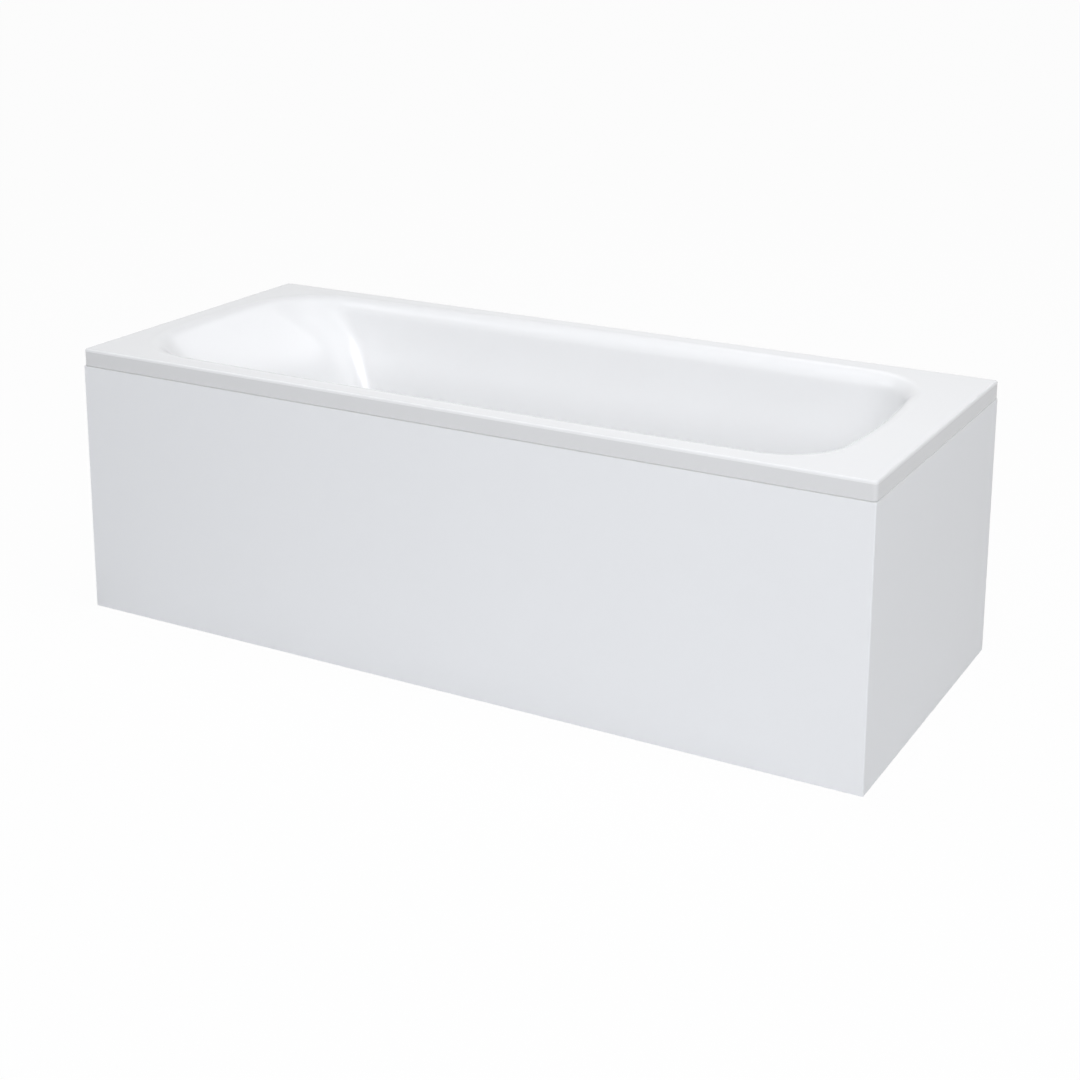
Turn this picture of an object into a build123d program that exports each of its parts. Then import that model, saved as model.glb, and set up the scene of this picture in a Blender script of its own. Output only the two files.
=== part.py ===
from build123d import *
from math import sin, cos, tan, radians, sqrt
import os

# A rectangular acrylic bath for the corner of a room. The head end (-X) and the back (+Y)
# stand against the walls, and one L-shaped panel closes the front (-Y) and the foot end (+X).
# Millimetres, +Z up, origin on the floor under the middle of the whole outline.

# Rim
rim_length = 1700.0
rim_width = 700.0
rim_height = 562.0
shell_wall = 5.0
apron_height = 35.0
apron_corner_radius = 8.0
rim_edge_radius = 4.0

# Flat strips of the deck, from the rim's edge to where the surface starts to roll down
head_deck = 38.0
foot_deck = 86.0
side_deck = 36.0
roll_radius = 35.0
head_corner_radius = 172.0
foot_corner_radius = 146.0
side_bow_angle = 1.3
end_bow_angle = 7.5

# Hollow of the tub: slopes are from the vertical, depths from the deck
tub_depth = 402.0
side_slope = 8.0
foot_slope = 12.0
head_slope_top = 55.0
head_slope_low = 27.0
knee_depth = 105.0
knee_round = 150.0
knee_sections = 5
knee_corner_radius = 76.0
floor_corner_radius = 62.0
floor_round = 40.0

# Board bonded under the floor, battens bonded under the rim
board_thickness = 16.0
board_inset = 10.0
board_corner_radius = 40.0
board_cutout_radius = 62.0
batten_height = 16.0
side_batten_width = 24.0
head_batten_width = 24.0
foot_batten_width = 60.0

# L-shaped panel with its stiffening boards; its faces are flush with the rim
panel_proud = 0.0
panel_gap = 1.0
panel_wall = 4.0
panel_return = 30.0
panel_corner_radius = 3.0
panel_edge_radius = 2.5
panel_board_thickness = 12.0
panel_board_height = 80.0
panel_board_lift = 5.0
panel_board_end_gap = 60.0

# Spring clips that hold the panel's top flange
clip_sheet = 2.0
clip_width = 30.0
clip_hold = 18.0
clip_tab = 20.0
front_clip_count = 4
front_clip_spacing = 420.0
end_clip_count = 2
end_clip_spacing = 340.0
clip_screw_radius = 2.0
clip_screw_length = 12.0
clip_screw_head_radius = 4.0
clip_screw_head = 2.2

# Floor angles behind the panel
angle_leg = 40.0
angle_hole_inset = 24.0
angle_sheet = 2.5
angle_width = 44.0
front_angle_count = 3
front_angle_spacing = 560.0
end_angle_count = 1
end_angle_spacing = 300.0
angle_hole_radius = 3.0
angle_hole_spacing = 24.0
angle_screw_radius = 2.0
angle_screw_length = 10.0
angle_screw_head_radius = 4.2
angle_screw_head = 2.4

# Hooks on the walls that carry the rim's turned-down edge
hook_sheet = 2.0
hook_width = 60.0
hook_drop = 42.0
hook_lip = 13.0
hook_hole_radius = 3.5
hook_hole_spacing = 36.0
hook_hole_drop = 24.0
back_hook_count = 3
back_hook_spacing = 550.0
head_hook_count = 2
head_hook_spacing = 340.0

# Cross rails and levelling feet
head_rail_inset = 520.0
foot_rail_inset = 450.0
rail_overhang = 30.0
rail_width = 40.0
rail_height = 25.0
rail_sheet = 2.0
foot_spacing = 540.0
stud_radius = 6.0
stud_chamfer = 1.0
stud_top_reserve = 28.0
stud_hole_play = 0.5
thread_play = 0.05
nut_across = 18.0
nut_height = 9.0
pad_radius = 25.0
pad_height = 7.0
pad_edge_radius = 2.8
pad_boss_radius = 12.0
pad_boss_height = 18.0
pad_floor = 4.0
collar_across = 14.0
collar_height = 8.0
running_gap = 0.3
rail_screw_radius = 2.5
rail_screw_length = 16.0
rail_screw_head_radius = 5.0
rail_screw_head = 3.0
rail_screw_rows = 3
rail_screw_pitch = 140.0
rail_screw_pair = 20.0

# Waste in the floor
drain_inset = 335.0
seat_radius = 42.0
seat_depth = 2.0
flange_radius = 36.0
flange_disc = 2.5
flange_edge_radius = 1.0
flange_tube_radius = 24.0
flange_bore_radius = 21.0
flange_tube_length = 38.0
drain_hole_play = 0.5
seal_thickness = 1.5
seal_outer_radius = 33.0
lower_seal_thickness = 3.0
body_collar_radius = 36.0
body_collar = 4.0
body_radius = 32.0
body_wall = 3.0
body_height = 60.0
chamber_height = 24.0
tail_radius = 20.0
tail_wall = 2.5
tail_length = 26.0
side_port_radius = 18.5
side_port_length = 32.0
side_port_drop = 45.0
cable_boss_radius = 7.0
cable_boss_length = 14.0
grid_thickness = 3.0
grid_drop = 20.0
grid_hub_radius = 8.0
grid_slot_count = 6
grid_slot_radius = 3.2
grid_slot_circle = 14.5
plug_radius = 30.0
plug_height = 5.0
plug_edge_radius = 2.0
plug_seal_radius = 28.0
plug_seal_thickness = 2.0
stem_radius = 4.0
stem_length = 40.0
guide_play = 0.05
lifter_height = 10.0
lifter_arm_length = 16.0
lifter_arm_width = 6.0
lifter_arm_height = 4.0

# Overflow in the foot wall, with the knob that lifts the plug
overflow_depth = 95.0
overflow_hole_radius = 23.0
rosette_radius = 36.0
rosette_thickness = 7.0
rosette_edge_radius = 2.5
rosette_slot_count = 6
rosette_slot_radius = 4.0
rosette_slot_circle = 14.0
neck_radius = 22.0
neck_wall = 3.0
neck_length = 26.0
overflow_seat_radius = 40.0
overflow_gasket_thickness = 3.0
overflow_gasket_radius = 33.0
overflow_body_flange = 4.0
overflow_body_flange_radius = 34.0
overflow_body_radius = 27.0
overflow_body_length = 58.0
overflow_back_wall = 3.0
overflow_port_length = 46.0
knob_radius = 27.0
knob_base = 7.0
knob_grip_length = 46.0
knob_grip_width = 11.0
knob_grip_height = 9.0
knob_edge_radius = 2.0
shaft_radius = 5.0
crank_radius = 14.0
crank_thickness = 5.0
crank_pin_radius = 2.0
crank_pin_circle = 10.0
crank_pin_length = 5.0

# Overflow pipe, cable and trap
pipe_radius = 16.0
pipe_wall = 2.0
pipe_bend = 70.0
socket_depth = 20.0
cable_radius = 2.5
cable_side = 24.0
cable_bend = 45.0
cable_detour = 70.0
trap_radius = 45.0
trap_wall = 3.0
trap_height = 52.0
trap_collar = 8.0
trap_collar_radius = 26.0
trap_nut_radius = 31.0
trap_nut_height = 12.0
trap_cap_radius = 30.0
trap_cap_height = 9.0
trap_cap_hole_radius = 24.0
outlet_radius = 20.0
outlet_wall = 2.5
outlet_collar_radius = 25.0
outlet_collar_length = 20.0
outlet_nut_radius = 30.0
outlet_nut_length = 16.0
outlet_reach = 300.0
spigot_length = 45.0
spigot_stop = 3.0
spigot_stop_radius = 21.5

# How near an edge has to lie to be picked, and how far out a face is picked from
selection_margin = 0.1
far_out = 60.0

# Planes that follow from the sizes above
middle_x = -panel_proud / 2
middle_y = panel_proud / 2
head_edge = middle_x - rim_length / 2
foot_edge = middle_x + rim_length / 2
back_edge = middle_y + rim_width / 2
front_edge = middle_y - rim_width / 2
panel_front = front_edge - panel_proud
panel_foot = foot_edge + panel_proud
deck_under = rim_height - shell_wall
apron_bottom = rim_height - apron_height
panel_top = apron_bottom - panel_gap
batten_bottom = deck_under - batten_height
floor_top = rim_height - tub_depth
floor_under = floor_top - shell_wall
board_bottom = floor_under - board_thickness
rail_bottom = board_bottom - rail_height
web_bottom = board_bottom - rail_sheet

# Edges of the hollow as they would meet the deck with no roll
side_tangent = roll_radius * tan(radians((90 - side_slope) / 2))
foot_tangent = roll_radius * tan(radians((90 - foot_slope) / 2))
head_tangent = roll_radius * tan(radians((90 - head_slope_top) / 2))
top_half_width = rim_width / 2 - side_deck - side_tangent
top_foot = rim_length / 2 - foot_deck - foot_tangent
top_head = -rim_length / 2 + head_deck + head_tangent
top_head_radius = head_corner_radius - side_tangent
top_foot_radius = foot_corner_radius - side_tangent
knee_head = top_head + knee_depth * tan(radians(head_slope_top))
floor_head = knee_head + (tub_depth - knee_depth) * tan(radians(head_slope_low))
floor_foot = top_foot - tub_depth * tan(radians(foot_slope))
floor_half_width = top_half_width - tub_depth * tan(radians(side_slope))

# Knee of the backrest: the arc that joins its two slopes, seen from the front
knee_reach = knee_round * tan(radians((head_slope_top - head_slope_low) / 2))
knee_start_depth = knee_depth - knee_reach * cos(radians(head_slope_top))
knee_end_depth = knee_depth + knee_reach * cos(radians(head_slope_low))
knee_centre_x = knee_head - knee_reach * sin(radians(head_slope_top)) - knee_round * cos(
    radians(head_slope_top))
knee_centre_depth = knee_start_depth + knee_round * sin(radians(head_slope_top))


def opening_face(plane_z, head_x, foot_x, half_width, head_radius, foot_radius):
    # Rounded oblong with slightly bowed sides and ends, drawn as eight arcs that meet tangentially
    side = radians(side_bow_angle)
    end = radians(end_bow_angle)
    lean = tan(end / 2)
    corner_sum = foot_radius + head_radius
    straight = foot_x - head_x - corner_sum * (1 - sin(side))
    spread = lean * (2 * half_width - corner_sum * cos(side))
    side_radius = (straight - spread) / (2 * sin(side) - 2 * lean * (1 - cos(side)))
    foot_y = half_width - side_radius * (1 - cos(side)) - foot_radius * cos(side)
    head_y = half_width - side_radius * (1 - cos(side)) - head_radius * cos(side)
    side_x = foot_x - foot_radius - foot_y * lean - (side_radius - foot_radius) * sin(side)
    foot_cx = side_x + (side_radius - foot_radius) * sin(side)
    head_cx = side_x - (side_radius - head_radius) * sin(side)
    corner_turn = 90 - side_bow_angle - end_bow_angle
    with BuildSketch(Plane(origin=(middle_x, middle_y, plane_z))) as face:
        with BuildLine():
            CenterArc((foot_cx - foot_y / tan(end), 0), foot_y / sin(end) + foot_radius,
                      -end_bow_angle, 2 * end_bow_angle)
            CenterArc((foot_cx, foot_y), foot_radius, end_bow_angle, corner_turn)
            CenterArc((side_x, half_width - side_radius), side_radius,
                      90 - side_bow_angle, 2 * side_bow_angle)
            CenterArc((head_cx, head_y), head_radius, 90 + side_bow_angle, corner_turn)
            CenterArc((head_cx + head_y / tan(end), 0), head_y / sin(end) + head_radius,
                      180 - end_bow_angle, 2 * end_bow_angle)
            CenterArc((head_cx, -head_y), head_radius, 180 + end_bow_angle, corner_turn)
            CenterArc((side_x, side_radius - half_width), side_radius,
                      270 - side_bow_angle, 2 * side_bow_angle)
            CenterArc((foot_cx, -foot_y), foot_radius, 270 + side_bow_angle, corner_turn)
        make_face()
    return face.sketch


def head_at(depth):
    # Where the backrest is at a depth below the deck
    if depth <= knee_start_depth:
        return top_head + depth * tan(radians(head_slope_top))
    if depth >= knee_end_depth:
        return floor_head - (tub_depth - depth) * tan(radians(head_slope_low))
    return knee_centre_x + sqrt(knee_round ** 2 - (depth - knee_centre_depth) ** 2)


def head_radius_at(depth):
    # The corners at the head tighten fast down to the knee and slowly below it
    if depth <= knee_depth:
        return top_head_radius + (knee_corner_radius - top_head_radius) * depth / knee_depth
    share = (depth - knee_depth) / (tub_depth - knee_depth)
    return knee_corner_radius + (floor_corner_radius - knee_corner_radius) * share


def hollow_faces(grow):
    # Sections of the hollow from the deck over the knee to the floor, each grown all round
    knee_depths = [knee_start_depth + (knee_end_depth - knee_start_depth) * step / (knee_sections - 1)
                   for step in range(knee_sections)]
    for depth in [0, *knee_depths, tub_depth]:
        level = rim_height - depth if depth < tub_depth else floor_top - grow
        foot_radius = top_foot_radius + (floor_corner_radius - top_foot_radius) * depth / tub_depth
        yield opening_face(level, head_at(depth) - grow,
                           top_foot - depth * tan(radians(foot_slope)) + grow,
                           top_half_width - depth * tan(radians(side_slope)) + grow,
                           head_radius_at(depth) + grow, foot_radius + grow)


def on_level(level):
    return lambda edge: (abs(edge.bounding_box().min.Z - level) < selection_margin
                         and abs(edge.bounding_box().max.Z - level) < selection_margin)


def hollow_mould(grow, deck_level):
    # What a mould for one side of the shell would fill: the hollow and a slab over the deck,
    # joined by the roll
    slab = 60.0
    spare = 100.0
    with BuildPart() as mould:
        for face in hollow_faces(grow):
            add(face)
        loft(ruled=True)
        with BuildSketch(Plane(origin=(middle_x, middle_y, deck_level))):
            Rectangle(rim_length + spare, rim_width + spare)
        extrude(amount=slab)
        inner_edges = [edge for edge in mould.edges().filter_by(on_level(deck_level))
                       if abs(edge.center().X - middle_x) < rim_length / 2 - selection_margin
                       and abs(edge.center().Y - middle_y) < rim_width / 2 - selection_margin]
        fillet(inner_edges, roll_radius - grow)
        fillet(mould.edges().group_by(Axis.Z)[0], floor_round + grow)
    return mould.part


# Overflow axis: local z points into the tub, local y points down the wall
foot_wall_x = middle_x + top_foot - overflow_depth * tan(radians(foot_slope))
overflow_plane = Plane(
    origin=(foot_wall_x, middle_y, rim_height - overflow_depth),
    x_dir=(0, 1, 0),
    z_dir=(-cos(radians(foot_slope)), 0, sin(radians(foot_slope))))
wall_normal = shell_wall * cos(radians(foot_slope))
drain_x = foot_edge - drain_inset
drain_y = middle_y
seat_level = floor_top - seat_depth


def drain_plane(level):
    return Plane(origin=(drain_x, drain_y, level))


# Shell: deck, turned-down apron and the hollow with its wall
with BuildPart() as bath_shell:
    with BuildSketch(Plane(origin=(middle_x, middle_y, 0))):
        Rectangle(rim_length, rim_width)
    extrude(amount=rim_height)
    add(hollow_mould(shell_wall, deck_under), mode=Mode.INTERSECT)
    with BuildSketch(Plane(origin=(middle_x, middle_y, apron_bottom))):
        RectangleRounded(rim_length, rim_width, apron_corner_radius)
        RectangleRounded(rim_length - 2 * shell_wall, rim_width - 2 * shell_wall,
                         apron_corner_radius - shell_wall, mode=Mode.SUBTRACT)
    extrude(amount=apron_height)
    with BuildSketch(Plane(origin=(middle_x, middle_y, 0))):
        RectangleRounded(rim_length, rim_width, apron_corner_radius)
    extrude(amount=rim_height, mode=Mode.INTERSECT)
    fillet(bath_shell.edges().group_by(Axis.Z)[-1], rim_edge_radius)
    add(hollow_mould(0, rim_height), mode=Mode.SUBTRACT)
    with BuildSketch(drain_plane(floor_top)):
        Circle(seat_radius)
    extrude(amount=-seat_depth, mode=Mode.SUBTRACT)
    with BuildSketch(drain_plane(floor_top)):
        Circle(flange_tube_radius + drain_hole_play)
    extrude(amount=-2 * shell_wall, mode=Mode.SUBTRACT)
    with BuildSketch(overflow_plane):
        Circle(overflow_seat_radius)
    extrude(amount=2 * shell_wall, mode=Mode.SUBTRACT)
    with BuildSketch(overflow_plane):
        Circle(overflow_hole_radius)
    extrude(amount=2 * shell_wall, both=True, mode=Mode.SUBTRACT)
    with BuildSketch(overflow_plane.offset(-wall_normal)):
        Circle(overflow_seat_radius)
    extrude(amount=-shell_wall, mode=Mode.SUBTRACT)
bath_shell.part.label = "bath_shell"

# Board bonded under the floor, cut out round the waste
flat_foot = floor_foot + shell_wall - (floor_round + shell_wall) * tan(radians((90 - foot_slope) / 2))
flat_head = floor_head - shell_wall + (floor_round + shell_wall) * tan(
    radians((90 - head_slope_low) / 2))
flat_half_width = floor_half_width + shell_wall - (floor_round + shell_wall) * tan(
    radians((90 - side_slope) / 2))
board_length = flat_foot - flat_head - 2 * board_inset
board_width = 2 * (flat_half_width - board_inset)
board_x = middle_x + (flat_foot + flat_head) / 2
rail_xs = (head_edge + head_rail_inset, foot_edge - foot_rail_inset)


def spaced(count, spacing, middle):
    return [middle + (index - (count - 1) / 2) * spacing for index in range(count)]


rail_screw_spots = [(x + side * rail_screw_pair / 2, y) for x in rail_xs for side in (-1, 1)
                    for y in spaced(rail_screw_rows, rail_screw_pitch, middle_y)]

with BuildPart() as base_board:
    with BuildSketch(Plane(origin=(board_x, middle_y, board_bottom))):
        RectangleRounded(board_length, board_width, board_corner_radius)
    extrude(amount=board_thickness)
    with BuildSketch(drain_plane(board_bottom)):
        Circle(board_cutout_radius)
    extrude(amount=board_thickness, mode=Mode.SUBTRACT)
    with BuildSketch(Plane.XY.offset(board_bottom)):
        with Locations(*rail_screw_spots):
            Circle(rail_screw_radius)
    extrude(amount=rail_screw_length - rail_sheet, mode=Mode.SUBTRACT)
base_board.part.label = "base_board"

# Battens bonded under the rim, inside the apron
apron_inner_length = rim_length - 2 * shell_wall
apron_inner_width = rim_width - 2 * shell_wall
side_batten_length = apron_inner_length - 2 * (apron_corner_radius - shell_wall)
end_batten_length = apron_inner_width - 2 * side_batten_width
front_batten_y = front_edge + shell_wall + side_batten_width / 2
back_batten_y = back_edge - shell_wall - side_batten_width / 2
head_batten_x = head_edge + shell_wall + head_batten_width / 2
foot_batten_x = foot_edge - shell_wall - foot_batten_width / 2
front_clip_xs = spaced(front_clip_count, front_clip_spacing, middle_x)
end_clip_ys = spaced(end_clip_count, end_clip_spacing, middle_y)
clip_leg = panel_return + clip_sheet / 2
clip_screw_inset = clip_leg - clip_tab / 2
clip_screw_spots = [(x, panel_front + clip_screw_inset) for x in front_clip_xs] + [
    (panel_foot - clip_screw_inset, y) for y in end_clip_ys]


def drill_battens():
    # Blind holes for the clips' screws, all at once
    with BuildSketch(Plane.XY.offset(batten_bottom)) as holes:
        with Locations(*clip_screw_spots):
            Circle(clip_screw_radius)
    return holes.sketch


with BuildPart() as batten_front:
    with BuildSketch(Plane(origin=(middle_x, front_batten_y, batten_bottom))):
        Rectangle(side_batten_length, side_batten_width)
    extrude(amount=batten_height)
    extrude(drill_battens(), amount=clip_screw_length - clip_sheet, mode=Mode.SUBTRACT)
batten_front.part.label = "batten_front"

with BuildPart() as batten_back:
    with BuildSketch(Plane(origin=(middle_x, back_batten_y, batten_bottom))):
        Rectangle(side_batten_length, side_batten_width)
    extrude(amount=batten_height)
batten_back.part.label = "batten_back"

with BuildPart() as batten_head:
    with BuildSketch(Plane(origin=(head_batten_x, middle_y, batten_bottom))):
        Rectangle(head_batten_width, end_batten_length)
    extrude(amount=batten_height)
batten_head.part.label = "batten_head"

with BuildPart() as batten_foot:
    with BuildSketch(Plane(origin=(foot_batten_x, middle_y, batten_bottom))):
        Rectangle(foot_batten_width, end_batten_length)
    extrude(amount=batten_height)
    extrude(drill_battens(), amount=clip_screw_length - clip_sheet, mode=Mode.SUBTRACT)
batten_foot.part.label = "batten_foot"


# L-shaped panel: one moulded piece with returns along its top and both far ends
def panel_outline(inset, depth):
    # L seen from above, inset from its outer faces and far ends, reaching inwards by depth
    with BuildSketch() as outline:
        with BuildLine():
            Polyline(
                (head_edge + inset, panel_front + inset),
                (panel_foot - inset, panel_front + inset),
                (panel_foot - inset, back_edge - inset),
                (panel_foot - depth, back_edge - inset),
                (panel_foot - depth, panel_front + depth),
                (head_edge + inset, panel_front + depth),
                close=True)
        make_face()
    return outline.sketch


pocket_reach = panel_return * 2
with BuildPart() as corner_panel:
    extrude(panel_outline(0, panel_return), amount=panel_top)
    corner_edge = corner_panel.edges().filter_by(Axis.Z).sort_by_distance(
        Vertex(panel_foot, panel_front, panel_top / 2))[0]
    fillet(corner_edge, panel_corner_radius)
    outer_top = [edge for edge in corner_panel.edges().group_by(Axis.Z)[-1]
                 if edge.center().Y < panel_front + selection_margin
                 or edge.center().X > panel_foot - selection_margin]
    fillet(outer_top, panel_edge_radius)
    extrude(panel_outline(panel_wall, pocket_reach), amount=panel_top - panel_wall,
            mode=Mode.SUBTRACT)
corner_panel.part.label = "corner_panel"

# Boards bonded inside the panel near the floor
front_board_length = rim_length + panel_proud - panel_wall - 2 * panel_board_end_gap
end_board_length = rim_width + panel_proud - panel_wall - 2 * panel_board_end_gap
front_board_x = (head_edge + panel_foot - panel_wall) / 2
end_board_y = (back_edge + panel_front + panel_wall) / 2
front_board_y = panel_front + panel_wall + panel_board_thickness / 2
end_board_x = panel_foot - panel_wall - panel_board_thickness / 2
board_face_y = panel_front + panel_wall + panel_board_thickness
board_face_x = panel_foot - panel_wall - panel_board_thickness
front_angle_xs = spaced(front_angle_count, front_angle_spacing, front_board_x)
end_angle_ys = spaced(end_angle_count, end_angle_spacing, end_board_y)
angle_screw_level = angle_hole_inset

with BuildPart() as panel_board_front:
    with BuildSketch(Plane(origin=(front_board_x, front_board_y, panel_board_lift))):
        Rectangle(front_board_length, panel_board_thickness)
    extrude(amount=panel_board_height)
    for x in front_angle_xs:
        with BuildSketch(Plane(origin=(x, board_face_y, angle_screw_level), x_dir=(1, 0, 0),
                               z_dir=(0, 1, 0))):
            with GridLocations(angle_hole_spacing, 1, 2, 1):
                Circle(angle_screw_radius)
        extrude(amount=-angle_screw_length + angle_sheet, mode=Mode.SUBTRACT)
panel_board_front.part.label = "panel_board_front"

with BuildPart() as panel_board_end:
    with BuildSketch(Plane(origin=(end_board_x, end_board_y, panel_board_lift))):
        Rectangle(panel_board_thickness, end_board_length)
    extrude(amount=panel_board_height)
    for y in end_angle_ys:
        with BuildSketch(Plane(origin=(board_face_x, y, angle_screw_level), x_dir=(0, 1, 0),
                               z_dir=(-1, 0, 0))):
            with GridLocations(angle_hole_spacing, 1, 2, 1):
                Circle(angle_screw_radius)
        extrude(amount=-angle_screw_length + angle_sheet, mode=Mode.SUBTRACT)
panel_board_end.part.label = "panel_board_end"


# A local plane on the panel's outer face: x along the face, y up, z outwards
def behind_front(x):
    return Plane(origin=(x, panel_front, 0), x_dir=(1, 0, 0), z_dir=(0, -1, 0))


def behind_end(y):
    return Plane(origin=(panel_foot, y, 0), x_dir=(0, 1, 0), z_dir=(1, 0, 0))


behind_panel = [behind_front(x) for x in front_clip_xs] + [behind_end(y) for y in end_clip_ys]
behind_angles = [behind_front(x) for x in front_angle_xs] + [behind_end(y) for y in end_angle_ys]
flange_under = panel_top - panel_wall


def section_across(plane):
    # The vertical plane square to a panel face: x inwards from the face, y up
    return Plane(origin=plane.origin, x_dir=-plane.z_dir, z_dir=plane.x_dir)


# Spring clips: a tab under the batten, a leg past the flange and a lip under it
with BuildPart() as panel_clips:
    for place in behind_panel:
        with BuildSketch(section_across(place)):
            with BuildLine():
                Polyline(
                    (clip_leg - clip_tab, batten_bottom),
                    (clip_leg + clip_sheet, batten_bottom),
                    (clip_leg + clip_sheet, flange_under - clip_sheet),
                    (clip_leg - clip_hold, flange_under - clip_sheet),
                    (clip_leg - clip_hold, flange_under),
                    (clip_leg, flange_under),
                    (clip_leg, batten_bottom - clip_sheet),
                    (clip_leg - clip_tab, batten_bottom - clip_sheet),
                    close=True)
            make_face()
        extrude(amount=clip_width / 2, both=True)
    with BuildSketch(Plane.XY.offset(batten_bottom)):
        with Locations(*clip_screw_spots):
            Circle(clip_screw_radius)
    extrude(amount=-clip_sheet, mode=Mode.SUBTRACT)
panel_clips.part.label = "panel_clips"

with BuildPart() as clip_screws:
    with BuildSketch(Plane.XY.offset(batten_bottom - clip_sheet)):
        with Locations(*clip_screw_spots):
            Circle(clip_screw_radius)
    extrude(amount=clip_screw_length)
    with BuildSketch(Plane.XY.offset(batten_bottom - clip_sheet)):
        with Locations(*clip_screw_spots):
            Circle(clip_screw_head_radius)
    extrude(amount=-clip_screw_head)
clip_screws.part.label = "clip_screws"

# Floor angles: one leg on the boards inside the panel, one on the floor
face_inset = panel_wall + panel_board_thickness
with BuildPart() as floor_angles:
    for place in behind_angles:
        across = section_across(place)
        with BuildSketch(across):
            with BuildLine():
                Polyline(
                    (face_inset, 0),
                    (face_inset + angle_leg, 0),
                    (face_inset + angle_leg, angle_sheet),
                    (face_inset + angle_sheet, angle_sheet),
                    (face_inset + angle_sheet, angle_leg),
                    (face_inset, angle_leg),
                    close=True)
            make_face()
        extrude(amount=angle_width / 2, both=True)
        with BuildSketch(place.offset(-face_inset)):
            with Locations((0, angle_screw_level)):
                with GridLocations(angle_hole_spacing, 1, 2, 1):
                    Circle(angle_screw_radius)
        extrude(amount=-angle_sheet, mode=Mode.SUBTRACT)
        floor_spot = Plane(origin=place.origin - place.z_dir * (face_inset + angle_hole_inset),
                           x_dir=place.x_dir, z_dir=(0, 0, 1))
        with BuildSketch(floor_spot):
            with GridLocations(angle_hole_spacing, 1, 2, 1):
                Circle(angle_hole_radius)
        extrude(amount=angle_sheet, mode=Mode.SUBTRACT)
floor_angles.part.label = "floor_angles"

with BuildPart() as angle_screws:
    for place in behind_angles:
        with BuildSketch(place.offset(-face_inset - angle_sheet)):
            with Locations((0, angle_screw_level)):
                with GridLocations(angle_hole_spacing, 1, 2, 1):
                    Circle(angle_screw_radius)
        extrude(amount=angle_screw_length)
        with BuildSketch(place.offset(-face_inset - angle_sheet)):
            with Locations((0, angle_screw_level)):
                with GridLocations(angle_hole_spacing, 1, 2, 1):
                    Circle(angle_screw_head_radius)
        extrude(amount=-angle_screw_head)
angle_screws.part.label = "angle_screws"


# Wall hooks: a plate on the wall, a shelf under the apron's edge and a lip inside it
def hook_places(on_back):
    if on_back:
        return [Plane(origin=(x, back_edge, 0), x_dir=(-1, 0, 0), z_dir=(0, 1, 0))
                for x in spaced(back_hook_count, back_hook_spacing, middle_x)]
    return [Plane(origin=(head_edge, y, 0), x_dir=(0, -1, 0), z_dir=(-1, 0, 0))
            for y in spaced(head_hook_count, head_hook_spacing, middle_y)]


def wall_hook_group(places):
    with BuildPart() as hooks:
        for place in places:
            with BuildSketch(section_across(place)):
                with BuildLine():
                    Polyline(
                        (0, apron_bottom),
                        (0, apron_bottom - hook_drop),
                        (hook_sheet, apron_bottom - hook_drop),
                        (hook_sheet, apron_bottom - hook_sheet),
                        (shell_wall + hook_sheet, apron_bottom - hook_sheet),
                        (shell_wall + hook_sheet, apron_bottom + hook_lip),
                        (shell_wall, apron_bottom + hook_lip),
                        (shell_wall, apron_bottom),
                        close=True)
                make_face()
            extrude(amount=hook_width / 2, both=True)
            with BuildSketch(place):
                with Locations((0, apron_bottom - hook_hole_drop)):
                    with GridLocations(hook_hole_spacing, 1, 2, 1):
                        Circle(hook_hole_radius)
            extrude(amount=-hook_sheet, mode=Mode.SUBTRACT)
    return hooks


wall_hooks_back = wall_hook_group(hook_places(True))
wall_hooks_back.part.label = "wall_hooks_back"
wall_hooks_head = wall_hook_group(hook_places(False))
wall_hooks_head.part.label = "wall_hooks_head"

# Cross rails, folded from sheet and open downwards
rail_length = foot_spacing + 2 * rail_overhang
stud_ys = (middle_y - foot_spacing / 2, middle_y + foot_spacing / 2)


def cross_rail(rail_x):
    with BuildPart() as rail:
        with BuildSketch(Plane(origin=(rail_x, middle_y, rail_bottom))):
            Rectangle(rail_width, rail_length)
        extrude(amount=rail_height)
        fillet(rail.edges().filter_by(Axis.Y).group_by(Axis.Z)[-1], rail_sheet)
        with BuildSketch(Plane(origin=(rail_x, middle_y, rail_bottom))):
            Rectangle(rail_width - 2 * rail_sheet, rail_length)
        extrude(amount=rail_height - rail_sheet, mode=Mode.SUBTRACT)
        with BuildSketch(Plane.XY.offset(web_bottom)):
            with Locations(*[(rail_x, y) for y in stud_ys]):
                Circle(stud_radius + stud_hole_play)
            with Locations(*[spot for spot in rail_screw_spots
                             if abs(spot[0] - rail_x) < rail_width / 2]):
                Circle(rail_screw_radius)
        extrude(amount=rail_sheet, mode=Mode.SUBTRACT)
    return rail


cross_rail_head = cross_rail(rail_xs[0])
cross_rail_head.part.label = "cross_rail_head"
cross_rail_foot = cross_rail(rail_xs[1])
cross_rail_foot.part.label = "cross_rail_foot"

with BuildPart() as rail_screws:
    with BuildSketch(Plane.XY.offset(web_bottom)):
        with Locations(*rail_screw_spots):
            Circle(rail_screw_radius)
    extrude(amount=rail_screw_length)
    with BuildSketch(Plane.XY.offset(web_bottom)):
        with Locations(*rail_screw_spots):
            Circle(rail_screw_head_radius)
    extrude(amount=-rail_screw_head)
rail_screws.part.label = "rail_screws"

# Levelling feet: two nuts clamp each rail's web, the stud turns in them and stands in its pad
foot_spots = {
    "front_head": (rail_xs[0], stud_ys[0]),
    "back_head": (rail_xs[0], stud_ys[1]),
    "front_foot": (rail_xs[1], stud_ys[0]),
    "back_foot": (rail_xs[1], stud_ys[1]),
}
nut_radius = nut_across / 2 / cos(radians(30))
collar_radius = collar_across / 2 / cos(radians(30))
stud_top = board_bottom + stud_top_reserve

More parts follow.
